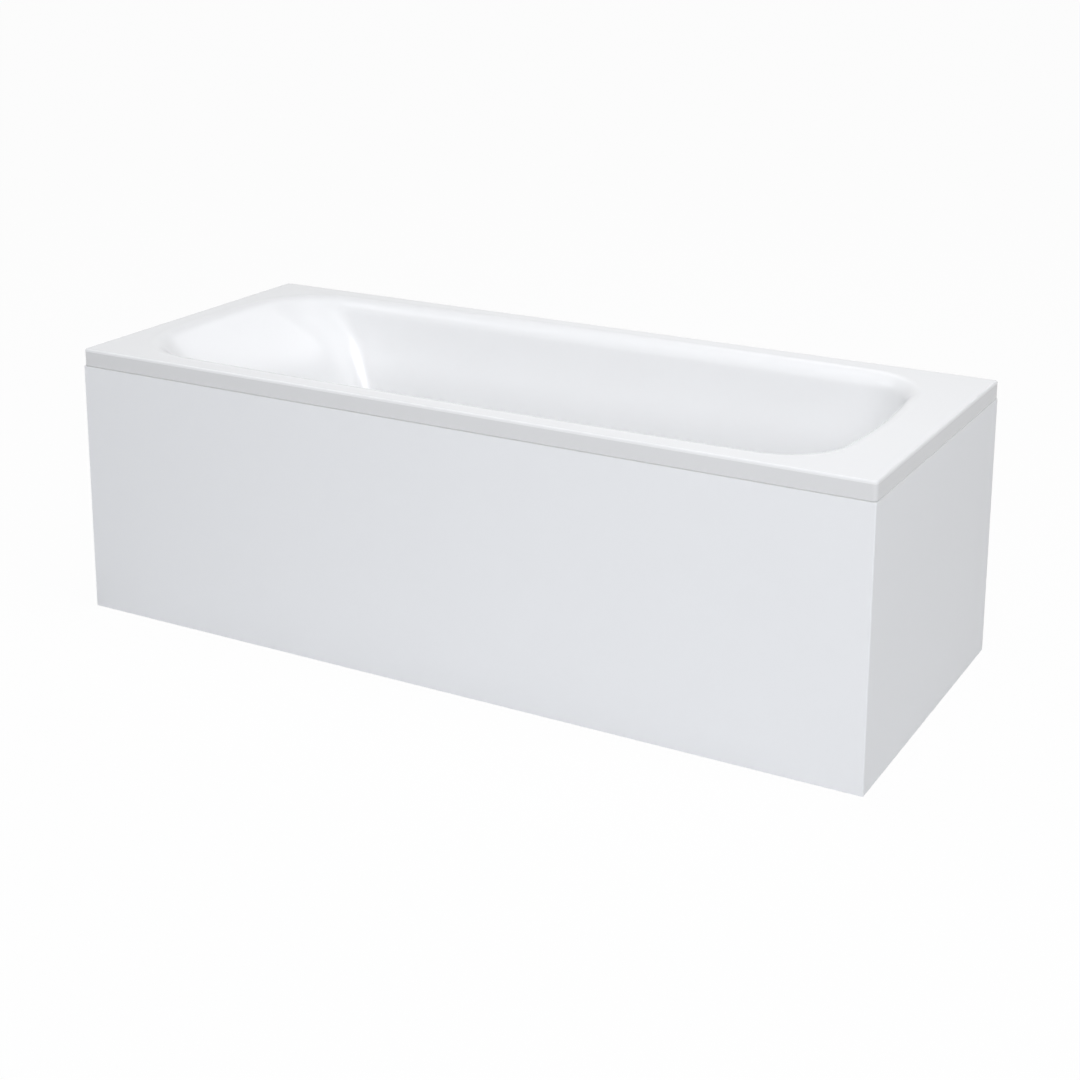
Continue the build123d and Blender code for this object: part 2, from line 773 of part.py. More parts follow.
with BuildPart() as foot_nuts:
    with BuildSketch(Plane.XY.offset(board_bottom)):
        with Locations(*foot_spots.values()):
            RegularPolygon(nut_radius, 6)
            Circle(stud_radius + thread_play, mode=Mode.SUBTRACT)
    extrude(amount=nut_height)
    with BuildSketch(Plane.XY.offset(web_bottom)):
        with Locations(*foot_spots.values()):
            RegularPolygon(nut_radius, 6)
            Circle(stud_radius + thread_play, mode=Mode.SUBTRACT)
    extrude(amount=-nut_height)
foot_nuts.part.label = "foot_nuts"


def foot_pad(spot):
    with BuildPart() as pad:
        with BuildSketch(Plane(origin=(spot[0], spot[1], 0))):
            Circle(pad_radius)
        extrude(amount=pad_height)
        fillet(pad.edges().group_by(Axis.Z)[-1], pad_edge_radius)
        with BuildSketch(Plane(origin=(spot[0], spot[1], 0))):
            Circle(pad_boss_radius)
        extrude(amount=pad_boss_height)
        with BuildSketch(Plane(origin=(spot[0], spot[1], pad_floor))):
            Circle(stud_radius + thread_play)
        extrude(amount=pad_boss_height, mode=Mode.SUBTRACT)
    return pad


def foot_stud(spot):
    with BuildPart() as stud:
        with BuildSketch(Plane(origin=(spot[0], spot[1], pad_floor + running_gap))):
            Circle(stud_radius)
        extrude(amount=stud_top - pad_floor - running_gap)
        chamfer(stud.edges().group_by(Axis.Z)[-1], stud_chamfer)
        with BuildSketch(Plane(origin=(spot[0], spot[1], pad_boss_height + running_gap))):
            RegularPolygon(collar_radius, 6)
        extrude(amount=collar_height)
    return stud


feet = {}
for corner, spot in foot_spots.items():
    feet["foot_pad_" + corner] = foot_pad(spot)
    feet["foot_stud_" + corner] = foot_stud(spot)
for name, piece in feet.items():
    piece.part.label = name

# Waste: a chromed flange clamps the floor between two seals against the waste body
flange_under_level = seat_level + seal_thickness
flange_top = flange_under_level + flange_disc
body_top = floor_under - lower_seal_thickness
body_floor = body_top - body_height
tube_bottom = flange_under_level - flange_tube_length
chamber_top = body_floor + body_wall + chamber_height
port_level = body_top - side_port_drop
grid_level = flange_top - grid_drop

with BuildPart() as waste_flange:
    with BuildSketch(drain_plane(tube_bottom)):
        Circle(flange_tube_radius)
    extrude(amount=flange_tube_length)
    with BuildSketch(drain_plane(flange_under_level)):
        Circle(flange_radius)
    extrude(amount=flange_disc)
    fillet(waste_flange.edges().group_by(Axis.Z)[-1], flange_edge_radius)
    with BuildSketch(drain_plane(tube_bottom)):
        Circle(flange_bore_radius)
    extrude(amount=flange_tube_length + flange_disc, mode=Mode.SUBTRACT)
waste_flange.part.label = "waste_flange"

with BuildPart() as upper_seal:
    with BuildSketch(drain_plane(seat_level)):
        Circle(seal_outer_radius)
        Circle(flange_tube_radius, mode=Mode.SUBTRACT)
    extrude(amount=seal_thickness)
upper_seal.part.label = "upper_seal"

with BuildPart() as lower_seal:
    with BuildSketch(drain_plane(body_top)):
        Circle(seal_outer_radius)
        Circle(flange_tube_radius, mode=Mode.SUBTRACT)
    extrude(amount=lower_seal_thickness)
lower_seal.part.label = "lower_seal"

side_port_plane = Plane(origin=(drain_x, drain_y, port_level), x_dir=(0, 1, 0), z_dir=(1, 0, 0))
cable_port_plane = Plane(origin=(drain_x, drain_y, port_level), x_dir=(1, 0, 0),
                         z_dir=(0, -1, 0))
with BuildPart() as waste_body:
    with BuildSketch(drain_plane(body_floor)):
        Circle(body_radius)
    extrude(amount=body_height)
    with BuildSketch(drain_plane(body_top)):
        Circle(body_collar_radius)
    extrude(amount=-body_collar)
    with BuildSketch(drain_plane(body_floor)):
        Circle(tail_radius)
    extrude(amount=-tail_length)
    with BuildSketch(side_port_plane):
        Circle(side_port_radius)
    extrude(amount=body_radius + side_port_length)
    with BuildSketch(cable_port_plane):
        Circle(cable_boss_radius)
    extrude(amount=body_radius + cable_boss_length)
    with BuildSketch(drain_plane(body_floor + body_wall)):
        Circle(body_radius - body_wall)
    extrude(amount=chamber_height, mode=Mode.SUBTRACT)
    with BuildSketch(drain_plane(body_top)):
        Circle(flange_tube_radius)
    extrude(amount=chamber_top - body_top, mode=Mode.SUBTRACT)
    with BuildSketch(drain_plane(body_floor + body_wall)):
        Circle(tail_radius - tail_wall)
    extrude(amount=-tail_length - body_wall, mode=Mode.SUBTRACT)
    with BuildSketch(side_port_plane):
        Circle(pipe_radius - pipe_wall)
    extrude(amount=body_radius + side_port_length, mode=Mode.SUBTRACT)
    with BuildSketch(side_port_plane.offset(body_radius + side_port_length)):
        Circle(pipe_radius)
    extrude(amount=-socket_depth, mode=Mode.SUBTRACT)
waste_body.part.label = "waste_body"

with BuildPart() as waste_grid:
    with BuildSketch(drain_plane(grid_level)):
        Circle(flange_bore_radius)
        with PolarLocations(grid_slot_circle, grid_slot_count):
            Circle(grid_slot_radius, mode=Mode.SUBTRACT)
    extrude(amount=-grid_thickness)
    with BuildSketch(drain_plane(grid_level)):
        Circle(grid_hub_radius)
    extrude(amount=-2 * grid_thickness)
    with BuildSketch(drain_plane(grid_level)):
        Circle(stem_radius + guide_play)
    extrude(amount=-2 * grid_thickness, mode=Mode.SUBTRACT)
waste_grid.part.label = "waste_grid"

# Plug with its stem and seal, and the lifter that pushes it up
seal_level = flange_top + running_gap
plug_level = seal_level + plug_seal_thickness
stem_bottom = plug_level - stem_length
lifter_top = stem_bottom - running_gap

with BuildPart() as plug:
    with BuildSketch(drain_plane(plug_level)):
        Circle(plug_radius)
    extrude(amount=plug_height)
    fillet(plug.edges().group_by(Axis.Z)[-1], plug_edge_radius)
    with BuildSketch(drain_plane(plug_level)):
        Circle(stem_radius)
    extrude(amount=-stem_length)
plug.part.label = "plug"

with BuildPart() as plug_seal:
    with BuildSketch(drain_plane(seal_level)):
        Circle(plug_seal_radius)
        Circle(stem_radius, mode=Mode.SUBTRACT)
    extrude(amount=plug_seal_thickness)
plug_seal.part.label = "plug_seal"

with BuildPart() as plug_lifter:
    with BuildSketch(drain_plane(lifter_top)):
        Circle(stem_radius)
    extrude(amount=-lifter_height)
    with BuildSketch(drain_plane(lifter_top - lifter_height)):
        with Locations((0, -lifter_arm_length / 2)):
            Rectangle(lifter_arm_width, lifter_arm_length + lifter_arm_width)
    extrude(amount=lifter_arm_height)
plug_lifter.part.label = "plug_lifter"

# Overflow: rosette inside the tub, gasket and body outside, knob and shaft through both
wall_back = overflow_plane.offset(-wall_normal)
gasket_back = wall_back.offset(-overflow_gasket_thickness)
body_front = overflow_gasket_thickness + wall_normal

with BuildPart() as overflow_rosette:
    with BuildSketch(overflow_plane):
        Circle(rosette_radius)
    extrude(amount=rosette_thickness)
    fillet(overflow_rosette.faces().sort_by_distance(
        overflow_plane.offset(far_out).origin)[0].edges(), rosette_edge_radius)
    with BuildSketch(overflow_plane):
        Circle(neck_radius)
        Circle(neck_radius - neck_wall, mode=Mode.SUBTRACT)
    extrude(amount=-neck_length)
    with BuildSketch(overflow_plane):
        Circle(shaft_radius + guide_play)
        with PolarLocations(rosette_slot_circle, rosette_slot_count):
            Circle(rosette_slot_radius)
    extrude(amount=rosette_thickness, mode=Mode.SUBTRACT)
overflow_rosette.part.label = "overflow_rosette"

with BuildPart() as overflow_gasket:
    with BuildSketch(wall_back):
        Circle(overflow_gasket_radius)
        Circle(overflow_hole_radius, mode=Mode.SUBTRACT)
    extrude(amount=-overflow_gasket_thickness)
overflow_gasket.part.label = "overflow_gasket"

chamber_middle = overflow_plane.offset(
    -(body_front + overflow_body_flange + overflow_body_length) / 2)
pipe_x = chamber_middle.origin.X
pipe_start = chamber_middle.origin.Z - overflow_port_length
port_plane = Plane(origin=(pipe_x, middle_y, pipe_start))
cable_top = Vector(pipe_x + cable_side, middle_y - cable_side, pipe_start)
lug_top = chamber_middle.origin.Z

with BuildPart() as overflow_body:
    with BuildSketch(gasket_back):
        Circle(overflow_body_flange_radius)
    extrude(amount=-overflow_body_flange)
    with BuildSketch(gasket_back):
        Circle(overflow_body_radius)
    extrude(amount=body_front - overflow_body_length)
    with BuildSketch(port_plane):
        Circle(side_port_radius)
    extrude(amount=overflow_port_length)
    with BuildSketch(Plane(origin=cable_top)):
        Circle(cable_boss_radius)
    extrude(amount=lug_top - cable_top.Z)
    with BuildSketch(gasket_back):
        Circle(neck_radius)
    extrude(amount=body_front - overflow_body_length + overflow_back_wall, mode=Mode.SUBTRACT)
    with BuildSketch(gasket_back):
        Circle(shaft_radius + guide_play)
    extrude(amount=body_front - overflow_body_length, mode=Mode.SUBTRACT)
    with BuildSketch(port_plane):
        Circle(pipe_radius - pipe_wall)
    extrude(amount=overflow_port_length, mode=Mode.SUBTRACT)
    with BuildSketch(port_plane):
        Circle(pipe_radius)
    extrude(amount=socket_depth, mode=Mode.SUBTRACT)
overflow_body.part.label = "overflow_body"

knob_seat = overflow_plane.offset(rosette_thickness + running_gap)
crank_seat = overflow_plane.offset(-overflow_body_length - running_gap)
with BuildPart() as overflow_knob:
    with BuildSketch(knob_seat):
        Circle(knob_radius)
    extrude(amount=knob_base)
    fillet(overflow_knob.faces().sort_by_distance(
        knob_seat.offset(far_out).origin)[0].edges(), knob_edge_radius)
    with BuildSketch(knob_seat.offset(knob_base)):
        SlotOverall(knob_grip_length, knob_grip_width)
    extrude(amount=knob_grip_height)
    fillet(overflow_knob.faces().sort_by_distance(
        knob_seat.offset(far_out).origin)[0].edges(), knob_edge_radius)
overflow_knob.part.label = "overflow_knob"

with BuildPart() as knob_shaft:
    with BuildSketch(knob_seat):
        Circle(shaft_radius)
    extrude(amount=-rosette_thickness - overflow_body_length - crank_thickness - 2 * running_gap)
knob_shaft.part.label = "knob_shaft"

with BuildPart() as cable_crank:
    with BuildSketch(crank_seat):
        Circle(crank_radius)
        Circle(shaft_radius, mode=Mode.SUBTRACT)
    extrude(amount=-crank_thickness)
    with BuildSketch(crank_seat.offset(-crank_thickness)):
        with Locations((-crank_pin_circle, 0)):
            Circle(crank_pin_radius)
    extrude(amount=-crank_pin_length)
cable_crank.part.label = "cable_crank"

# Overflow pipe: down from the overflow body, then level into the waste body's side
pipe_top = Vector(pipe_x, middle_y, pipe_start + socket_depth)
pipe_corner = Vector(pipe_x, middle_y, port_level)
pipe_end = Vector(drain_x + body_radius + side_port_length - socket_depth, middle_y, port_level)
with BuildPart() as overflow_pipe:
    with BuildLine():
        FilletPolyline(pipe_top, pipe_corner, pipe_end, radius=pipe_bend)
    with BuildSketch(Plane(origin=pipe_top, z_dir=(0, 0, -1))):
        Circle(pipe_radius)
        Circle(pipe_radius - pipe_wall, mode=Mode.SUBTRACT)
    sweep()
overflow_pipe.part.label = "overflow_pipe"

# Cable from the crank's lug to the boss on the waste body, clear of the pipe all the way
cable_end = Vector(drain_x, drain_y - body_radius - cable_boss_length, port_level)
cable_turn = cable_end - Vector(0, cable_detour, 0)
cable_drop = Vector(cable_top.X, cable_turn.Y, port_level)
cable_fall = Vector(cable_top.X, cable_top.Y, port_level + 2 * cable_detour)
with BuildPart() as bowden_cable:
    with BuildLine():
        FilletPolyline(cable_top, cable_fall, cable_drop, cable_turn, cable_end,
                       radius=cable_bend)
    with BuildSketch(Plane(origin=cable_top, z_dir=(0, 0, -1))):
        Circle(cable_radius)
    sweep()
bowden_cable.part.label = "bowden_cable"

# Trap under the waste body, with its union nut, cleaning cap and outlet
trap_top = body_floor - tail_length + trap_collar
trap_bottom = trap_top - trap_height
outlet_level = trap_bottom + trap_height / 2
outlet_plane = Plane(origin=(drain_x, drain_y, outlet_level), x_dir=(-1, 0, 0), z_dir=(0, 1, 0))
trap_collar_top = trap_top + trap_collar
outlet_start = trap_radius + outlet_collar_length

with BuildPart() as trap_body:
    with BuildSketch(drain_plane(trap_bottom)):
        Circle(trap_radius)
    extrude(amount=trap_height)
    fillet(trap_body.edges().group_by(Axis.Z)[-1], trap_wall)
    with BuildSketch(drain_plane(trap_top)):
        Circle(trap_collar_radius)
    extrude(amount=trap_collar)
    with BuildSketch(outlet_plane):
        Circle(outlet_collar_radius)
    extrude(amount=outlet_start)
    with BuildSketch(drain_plane(trap_bottom + trap_wall)):
        Circle(trap_radius - trap_wall)
    extrude(amount=trap_height - 2 * trap_wall, mode=Mode.SUBTRACT)
    with BuildSketch(drain_plane(trap_top - trap_wall)):
        Circle(tail_radius)
    extrude(amount=trap_wall + trap_collar, mode=Mode.SUBTRACT)
    with BuildSketch(drain_plane(trap_bottom)):
        Circle(trap_cap_hole_radius)
    extrude(amount=trap_wall, mode=Mode.SUBTRACT)
    with BuildSketch(outlet_plane):
        Circle(outlet_radius)
    extrude(amount=outlet_start, mode=Mode.SUBTRACT)
trap_body.part.label = "trap_body"

with BuildPart() as trap_nut:
    with BuildSketch(drain_plane(trap_collar_top - trap_nut_height / 2)):
        Circle(trap_nut_radius)
        Circle(trap_collar_radius, mode=Mode.SUBTRACT)
    extrude(amount=trap_nut_height / 2)
    with BuildSketch(drain_plane(trap_collar_top)):
        Circle(trap_nut_radius)
        Circle(tail_radius, mode=Mode.SUBTRACT)
    extrude(amount=trap_nut_height / 2)
trap_nut.part.label = "trap_nut"

with BuildPart() as trap_cap:
    with BuildSketch(drain_plane(trap_bottom)):
        Circle(trap_cap_radius)
    extrude(amount=-trap_cap_height)
    with BuildSketch(drain_plane(trap_bottom)):
        Circle(trap_cap_hole_radius)
    extrude(amount=trap_wall)
trap_cap.part.label = "trap_cap"

with BuildPart() as outlet_nut:
    with BuildSketch(outlet_plane.offset(outlet_start - outlet_nut_length / 2)):
        Circle(outlet_nut_radius)
        Circle(outlet_collar_radius, mode=Mode.SUBTRACT)
    extrude(amount=outlet_nut_length / 2)
    with BuildSketch(outlet_plane.offset(outlet_start)):
        Circle(outlet_nut_radius)
        Circle(outlet_radius, mode=Mode.SUBTRACT)
    extrude(amount=outlet_nut_length / 2)
outlet_nut.part.label = "outlet_nut"

with BuildPart() as outlet_pipe:
    with BuildSketch(outlet_plane.offset(outlet_start - outlet_collar_length)):
        Circle(outlet_radius)
        Circle(outlet_radius - outlet_wall, mode=Mode.SUBTRACT)
    extrude(amount=outlet_reach - outlet_start + outlet_collar_length)
    with BuildSketch(outlet_plane.offset(outlet_reach - spigot_length)):
        Circle(spigot_stop_radius)
        Circle(outlet_radius - outlet_wall, mode=Mode.SUBTRACT)
    extrude(amount=-spigot_stop)
outlet_pipe.part.label = "outlet_pipe"

pieces = [
    bath_shell, base_board, batten_front, batten_back, batten_head, batten_foot,
    corner_panel, panel_board_front, panel_board_end, panel_clips, clip_screws,
    floor_angles, angle_screws, wall_hooks_back, wall_hooks_head,
    cross_rail_head, cross_rail_foot, rail_screws, foot_nuts, *feet.values(),
    waste_flange, upper_seal, lower_seal, waste_body, waste_grid, plug, plug_seal, plug_lifter,
    overflow_rosette, overflow_gasket, overflow_body, overflow_knob, knob_shaft, cable_crank,
    overflow_pipe, bowden_cable, trap_body, trap_nut, trap_cap, outlet_nut, outlet_pipe,
]
os.makedirs("parts", exist_ok=True)
for piece in pieces:
    export_step(piece.part, f"parts/{piece.part.label}.step")
print(len(pieces), "nodes written")
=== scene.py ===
from math import sin, cos, tan, radians, pi, sqrt
import bpy
import bmesh
import numpy as np
from mathutils import Matrix, Vector


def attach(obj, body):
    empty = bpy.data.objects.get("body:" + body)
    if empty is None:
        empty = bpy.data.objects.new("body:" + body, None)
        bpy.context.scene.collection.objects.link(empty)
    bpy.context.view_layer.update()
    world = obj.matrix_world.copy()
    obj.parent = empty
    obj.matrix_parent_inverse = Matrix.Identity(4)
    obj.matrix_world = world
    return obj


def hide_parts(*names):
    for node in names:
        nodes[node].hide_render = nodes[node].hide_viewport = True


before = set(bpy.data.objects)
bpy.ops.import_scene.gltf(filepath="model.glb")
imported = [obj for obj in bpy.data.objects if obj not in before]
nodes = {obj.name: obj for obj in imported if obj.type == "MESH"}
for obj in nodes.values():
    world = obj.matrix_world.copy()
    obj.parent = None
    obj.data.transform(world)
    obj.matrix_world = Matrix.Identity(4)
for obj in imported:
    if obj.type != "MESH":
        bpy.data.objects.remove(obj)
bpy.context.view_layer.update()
mm = 0.001
print("frame loaded,", len(nodes), "nodes")

# Finishes
scene = bpy.context.scene


def blankMaterial(name):
    material = bpy.data.materials.new(name)
    material.use_nodes = True
    tree = material.node_tree
    tree.nodes.clear()
    output = tree.nodes.new("ShaderNodeOutputMaterial")
    shader = tree.nodes.new("ShaderNodeBsdfPrincipled")
    tree.links.new(shader.outputs[0], output.inputs[0])
    return material, tree, shader


def startGroup(name, inputs, outputs):
    # inputs and outputs are (name, kind, value)
    group = bpy.data.node_groups.new(name, "ShaderNodeTree")
    for label, kind, value in inputs:
        socket = group.interface.new_socket(name=label, in_out="INPUT", socket_type="NodeSocket" + kind)
        socket.default_value = value
    for label, kind in outputs:
        group.interface.new_socket(name=label, in_out="OUTPUT", socket_type="NodeSocket" + kind)
    entry = group.nodes.new("NodeGroupInput")
    ending = group.nodes.new("NodeGroupOutput")
    return group, entry, ending


def feed(tree, socket, value):
    # Another node's socket is linked, anything else is set on the socket
    if isinstance(value, bpy.types.NodeSocket):
        tree.links.new(value, socket)
    else:
        socket.default_value = value


def step(tree, kind, feeds=None, **values):
    # Adds a node by its full kind, sets its properties and sockets, and feeds its inputs
    node = tree.nodes.new(kind)
    for key, value in values.items():
        if hasattr(node, key):
            setattr(node, key, value)
        else:
            node.inputs[key.replace("_", " ")].default_value = value
    for key, value in (feeds or {}).items():
        feed(tree, node.inputs[key], value)
    return node


def put(tree, kind, feeds=None, **values):
    return step(tree, "ShaderNode" + kind, feeds, **values)


def colour(*rgb):
    return (*rgb, 1.0)


mottleSizes = {"fineness": 14.0, "low": 0.22, "high": 0.78}


def makeMottle():
    # Two tones that drift into each other, with a finer speckle on top
    group, entry, ending = startGroup(
        "softMottle",
        [("Scale", "Float", 4.0), ("Speckle", "Float", 0.3), ("Tone A", "Color", colour(1, 1, 1)),
         ("Tone B", "Color", colour(0, 0, 0))],
        [("Color", "Color"), ("Mask", "Float")])
    place = put(group, "TexCoord").outputs["Object"]
    broad = put(group, "TexNoise", {"Vector": place, "Scale": entry.outputs["Scale"]},
                Detail=3.0, Roughness=0.5)
    fineScale = put(group, "Math", {0: entry.outputs["Scale"], 1: mottleSizes["fineness"]},
                    operation="MULTIPLY")
    fine = put(group, "TexNoise", {"Vector": place, "Scale": fineScale.outputs[0]},
               Detail=2.0, Roughness=0.6)
    both = put(group, "Mix", {0: entry.outputs["Speckle"], 2: broad.outputs[0], 3: fine.outputs[0]},
               data_type="FLOAT")
    spread = put(group, "MapRange", {0: both.outputs[0], 1: mottleSizes["low"], 2: mottleSizes["high"]})
    tone = put(group, "Mix", {0: spread.outputs[0], 6: entry.outputs["Tone A"],
                              7: entry.outputs["Tone B"]}, data_type="RGBA")
    group.links.new(tone.outputs[2], ending.inputs["Color"])
    group.links.new(spread.outputs[0], ending.inputs["Mask"])
    return group


def makeGrain():
    # A fine moulded or brushed relief
    group, entry, ending = startGroup(
        "fineRelief",
        [("Scale", "Float", 200.0), ("Strength", "Float", 0.1), ("Distance", "Float", 0.0005)],
        [("Normal", "Vector")])
    place = put(group, "TexCoord").outputs["Object"]
    noise = put(group, "TexNoise", {"Vector": place, "Scale": entry.outputs["Scale"]},
                Detail=4.0, Roughness=0.55)
    bump = put(group, "Bump", {"Height": noise.outputs[0], "Strength": entry.outputs["Strength"],
                               "Distance": entry.outputs["Distance"]})
    group.links.new(bump.outputs[0], ending.inputs["Normal"])
    return group


flakeTones = {"dark": (0.30, 0.19, 0.10), "middle": (0.47, 0.33, 0.19), "light": (0.60, 0.44, 0.27)}
flakeSizes = {"warpScale": 60.0, "warp": (0.012, 0.012, 0.012), "middleAt": 0.45}


def makeFlakes():
    # Pressed wood flakes: cells of several tans with thin dark joints
    group, entry, ending = startGroup(
        "pressedFlakes",
        [("Scale", "Float", 160.0), ("Stretch", "Vector", (1, 1, 1))],
        [("Color", "Color"), ("Height", "Float")])
    place = put(group, "TexCoord")
    warp = put(group, "TexNoise", {"Vector": place.outputs["Object"]}, Detail=2.0,
               Scale=flakeSizes["warpScale"])
    lean = put(group, "VectorMath", {0: warp.outputs["Color"], 1: flakeSizes["warp"]},
               operation="MULTIPLY")
    shifted = put(group, "VectorMath", {0: place.outputs["Object"], 1: lean.outputs[0]}, operation="ADD")
    stretched = put(group, "VectorMath", {0: shifted.outputs[0], 1: entry.outputs["Stretch"]},
                    operation="MULTIPLY")
    cells = put(group, "TexVoronoi", {"Vector": stretched.outputs[0], "Scale": entry.outputs["Scale"]})
    share = put(group, "SeparateColor", {0: cells.outputs["Color"]})
    tones = put(group, "ValToRGB", {0: share.outputs[0]})
    ramp = tones.color_ramp
    ramp.elements[0].color = colour(*flakeTones["dark"])
    ramp.elements[1].color = colour(*flakeTones["light"])
    middle = ramp.elements.new(flakeSizes["middleAt"])
    middle.color = colour(*flakeTones["middle"])
    group.links.new(tones.outputs[0], ending.inputs["Color"])
    group.links.new(cells.outputs["Distance"], ending.inputs["Height"])
    return group


timberLook = {"fibreScale": 420.0, "fibreShare": 0.4, "dark": (0.50, 0.33, 0.17),
              "light": (0.74, 0.57, 0.36)}


def makeTimber():
    # Growth rings seen along a sawn batten
    group, entry, ending = startGroup(
        "sawnTimber",
        [("Stretch", "Vector", (1, 1, 1)), ("Scale", "Float", 40.0)],
        [("Color", "Color"), ("Height", "Float")])
    place = put(group, "TexCoord")
    stretched = put(group, "VectorMath", {0: place.outputs["Object"], 1: entry.outputs["Stretch"]},
                    operation="MULTIPLY")
    waves = put(group, "TexWave", {"Vector": stretched.outputs[0], "Scale": entry.outputs["Scale"]},
                bands_direction="Y", Distortion=3.5, Detail=3.0, Detail_Scale=1.4)
    fibre = put(group, "TexNoise", {"Vector": stretched.outputs[0]}, Detail=2.0,
                Scale=timberLook["fibreScale"])
    both = put(group, "Mix", {0: timberLook["fibreShare"], 2: waves.outputs["Fac"], 3: fibre.outputs[0]},
               data_type="FLOAT")
    tones = put(group, "ValToRGB", {0: both.outputs[0]})
    tones.color_ramp.elements[0].color = colour(*timberLook["dark"])
    tones.color_ramp.elements[1].color = colour(*timberLook["light"])
    group.links.new(tones.outputs[0], ending.inputs["Color"])
    group.links.new(both.outputs[0], ending.inputs["Height"])
    return group


zincGloss = (0.28, 0.46)


def makeSpangle():
    # Zinc crystals: patches that differ a little in tone and in gloss
    group, entry, ending = startGroup(
        "zincSpangle",
        [("Scale", "Float", 90.0), ("Dark", "Color", colour(0.5, 0.52, 0.55)),
         ("Light", "Color", colour(0.72, 0.74, 0.77))],
        [("Color", "Color"), ("Roughness", "Float")])
    place = put(group, "TexCoord").outputs["Object"]
    cells = put(group, "TexVoronoi", {"Vector": place, "Scale": entry.outputs["Scale"]})
    share = put(group, "SeparateColor", {0: cells.outputs["Color"]})
    tone = put(group, "Mix", {0: share.outputs[0], 6: entry.outputs["Dark"],
                              7: entry.outputs["Light"]}, data_type="RGBA")
    gloss = put(group, "MapRange", {0: share.outputs[1], 3: zincGloss[0], 4: zincGloss[1]})
    group.links.new(tone.outputs[2], ending.inputs["Color"])
    group.links.new(gloss.outputs[0], ending.inputs["Roughness"])
    return group


# Sizes of the painted shade on the rim's outer face; shade is the share of the base colour that stays
rimShadeSizes = {"halfLength": 0.845, "halfWidth": 0.345, "level": 0.557, "blend": 0.0015, "shade": 0.85}


def makeRimShadeMask():
    # A mask for the painted shade on the rim's turned-down outer face: low enough, and close to the
    # outline
    group, entry, ending = startGroup(
        "rimShadeMask", [("Half Length", "Float", rimShadeSizes["halfLength"]),
                    ("Half Width", "Float", rimShadeSizes["halfWidth"]),
                    ("Level", "Float", rimShadeSizes["level"])],
        [("Mask", "Float")])
    place = put(group, "SeparateXYZ", {0: put(group, "TexCoord").outputs["Object"]})
    reaches = []
    for axis, label in ((0, "Half Length"), (1, "Half Width")):
        away = put(group, "Math", {0: place.outputs[axis]}, operation="ABSOLUTE")
        reaches.append(put(group, "Math", {0: away.outputs[0], 1: entry.outputs[label]},
                           operation="GREATER_THAN").outputs[0])
    outside = put(group, "Math", {0: reaches[0], 1: reaches[1]}, operation="MAXIMUM")
    below = put(group, "Math", {0: entry.outputs["Level"], 1: place.outputs[2]}, operation="SUBTRACT")
    soft = put(group, "MapRange", {0: below.outputs[0], 2: rimShadeSizes["blend"]})
    both = put(group, "Math", {0: outside.outputs[0], 1: soft.outputs[0]}, operation="MULTIPLY")
    group.links.new(both.outputs[0], ending.inputs["Mask"])
    return group


mottle = makeMottle()
relief = makeGrain()
flakes = makeFlakes()
timber = makeTimber()
spangle = makeSpangle()


def placeGroup(tree, group, **values):
    return put(tree, "Group", node_tree=group, **values)


def moulded(name, toneA, toneB, gloss, grain, scale, speckle=0.2, metallic=0.0):
    # A finish of one drifting tone: acrylic, plastic, rubber, plated steel
    material, tree, shader = blankMaterial(name)
    tone = placeGroup(tree, mottle, Scale=scale, Speckle=speckle, Tone_A=colour(*toneA),
                      Tone_B=colour(*toneB))
    tree.links.new(tone.outputs["Color"], shader.inputs["Base Color"])
    sheen = put(tree, "MapRange", {0: tone.outputs["Mask"], 3: gloss[0], 4: gloss[1]})
    tree.links.new(sheen.outputs[0], shader.inputs["Roughness"])
    surface = placeGroup(tree, relief, Scale=grain[0], Strength=grain[1], Distance=grain[2])
    tree.links.new(surface.outputs["Normal"], shader.inputs["Normal"])
    shader.inputs["Metallic"].default_value = metallic
    return material


bathAcrylic = moulded("bathAcrylic", (0.888, 0.893, 0.896), (0.903, 0.908, 0.911), (0.2, 0.26),
                      (24.0, 0.06, 0.0006), scale=1.6, speckle=0.05)


def paintRimShade(material, rimShadeMask, share):
    # Paints shade on the rim's outer face: its base colour is made darker than the deck's
    tree = material.node_tree
    shader = tree.nodes["Principled BSDF"]
    tone = shader.inputs["Base Color"].links[0].from_socket
    mask = placeGroup(tree, rimShadeMask)
    shaded = put(tree, "Mix", {0: mask.outputs["Mask"], 6: tone, 7: colour(share, share, share)},
                 data_type="RGBA", blend_type="MULTIPLY")
    tree.links.new(shaded.outputs[2], shader.inputs["Base Color"])


# Painted shade darkens the rim's outer face
paintRimShade(bathAcrylic, makeRimShadeMask(), rimShadeSizes["shade"])
panelAcrylic = moulded("panelAcrylic", (0.875, 0.886, 0.898), (0.885, 0.896, 0.908), (0.28, 0.31),
                       (30.0, 0.05, 0.0005), scale=1.3, speckle=0.06)
glassBacking = moulded("glassBacking", (0.60, 0.585, 0.53), (0.74, 0.725, 0.67), (0.55, 0.8),
                       (150.0, 0.8, 0.0012), scale=22.0, speckle=0.55)
chrome = moulded("chrome", (0.53, 0.54, 0.555), (0.58, 0.59, 0.605), (0.06, 0.1),
                 (60.0, 0.02, 0.0003), scale=10.0, metallic=1.0)
screwSteel = moulded("screwSteel", (0.55, 0.54, 0.5), (0.7, 0.68, 0.6), (0.25, 0.36),
                     (500.0, 0.1, 0.0002), scale=40.0, metallic=1.0)
sealRubber = moulded("sealRubber", (0.03, 0.03, 0.032), (0.05, 0.05, 0.053), (0.5, 0.65),
                     (700.0, 0.15, 0.0002), scale=30.0)
whitePlastic = moulded("whitePlastic", (0.76, 0.765, 0.76), (0.8, 0.8, 0.79), (0.3, 0.4),
                       (400.0, 0.08, 0.0002), scale=12.0)
greyPlastic = moulded("greyPlastic", (0.30, 0.31, 0.32), (0.36, 0.37, 0.38), (0.35, 0.48),
                      (450.0, 0.1, 0.0002), scale=14.0)
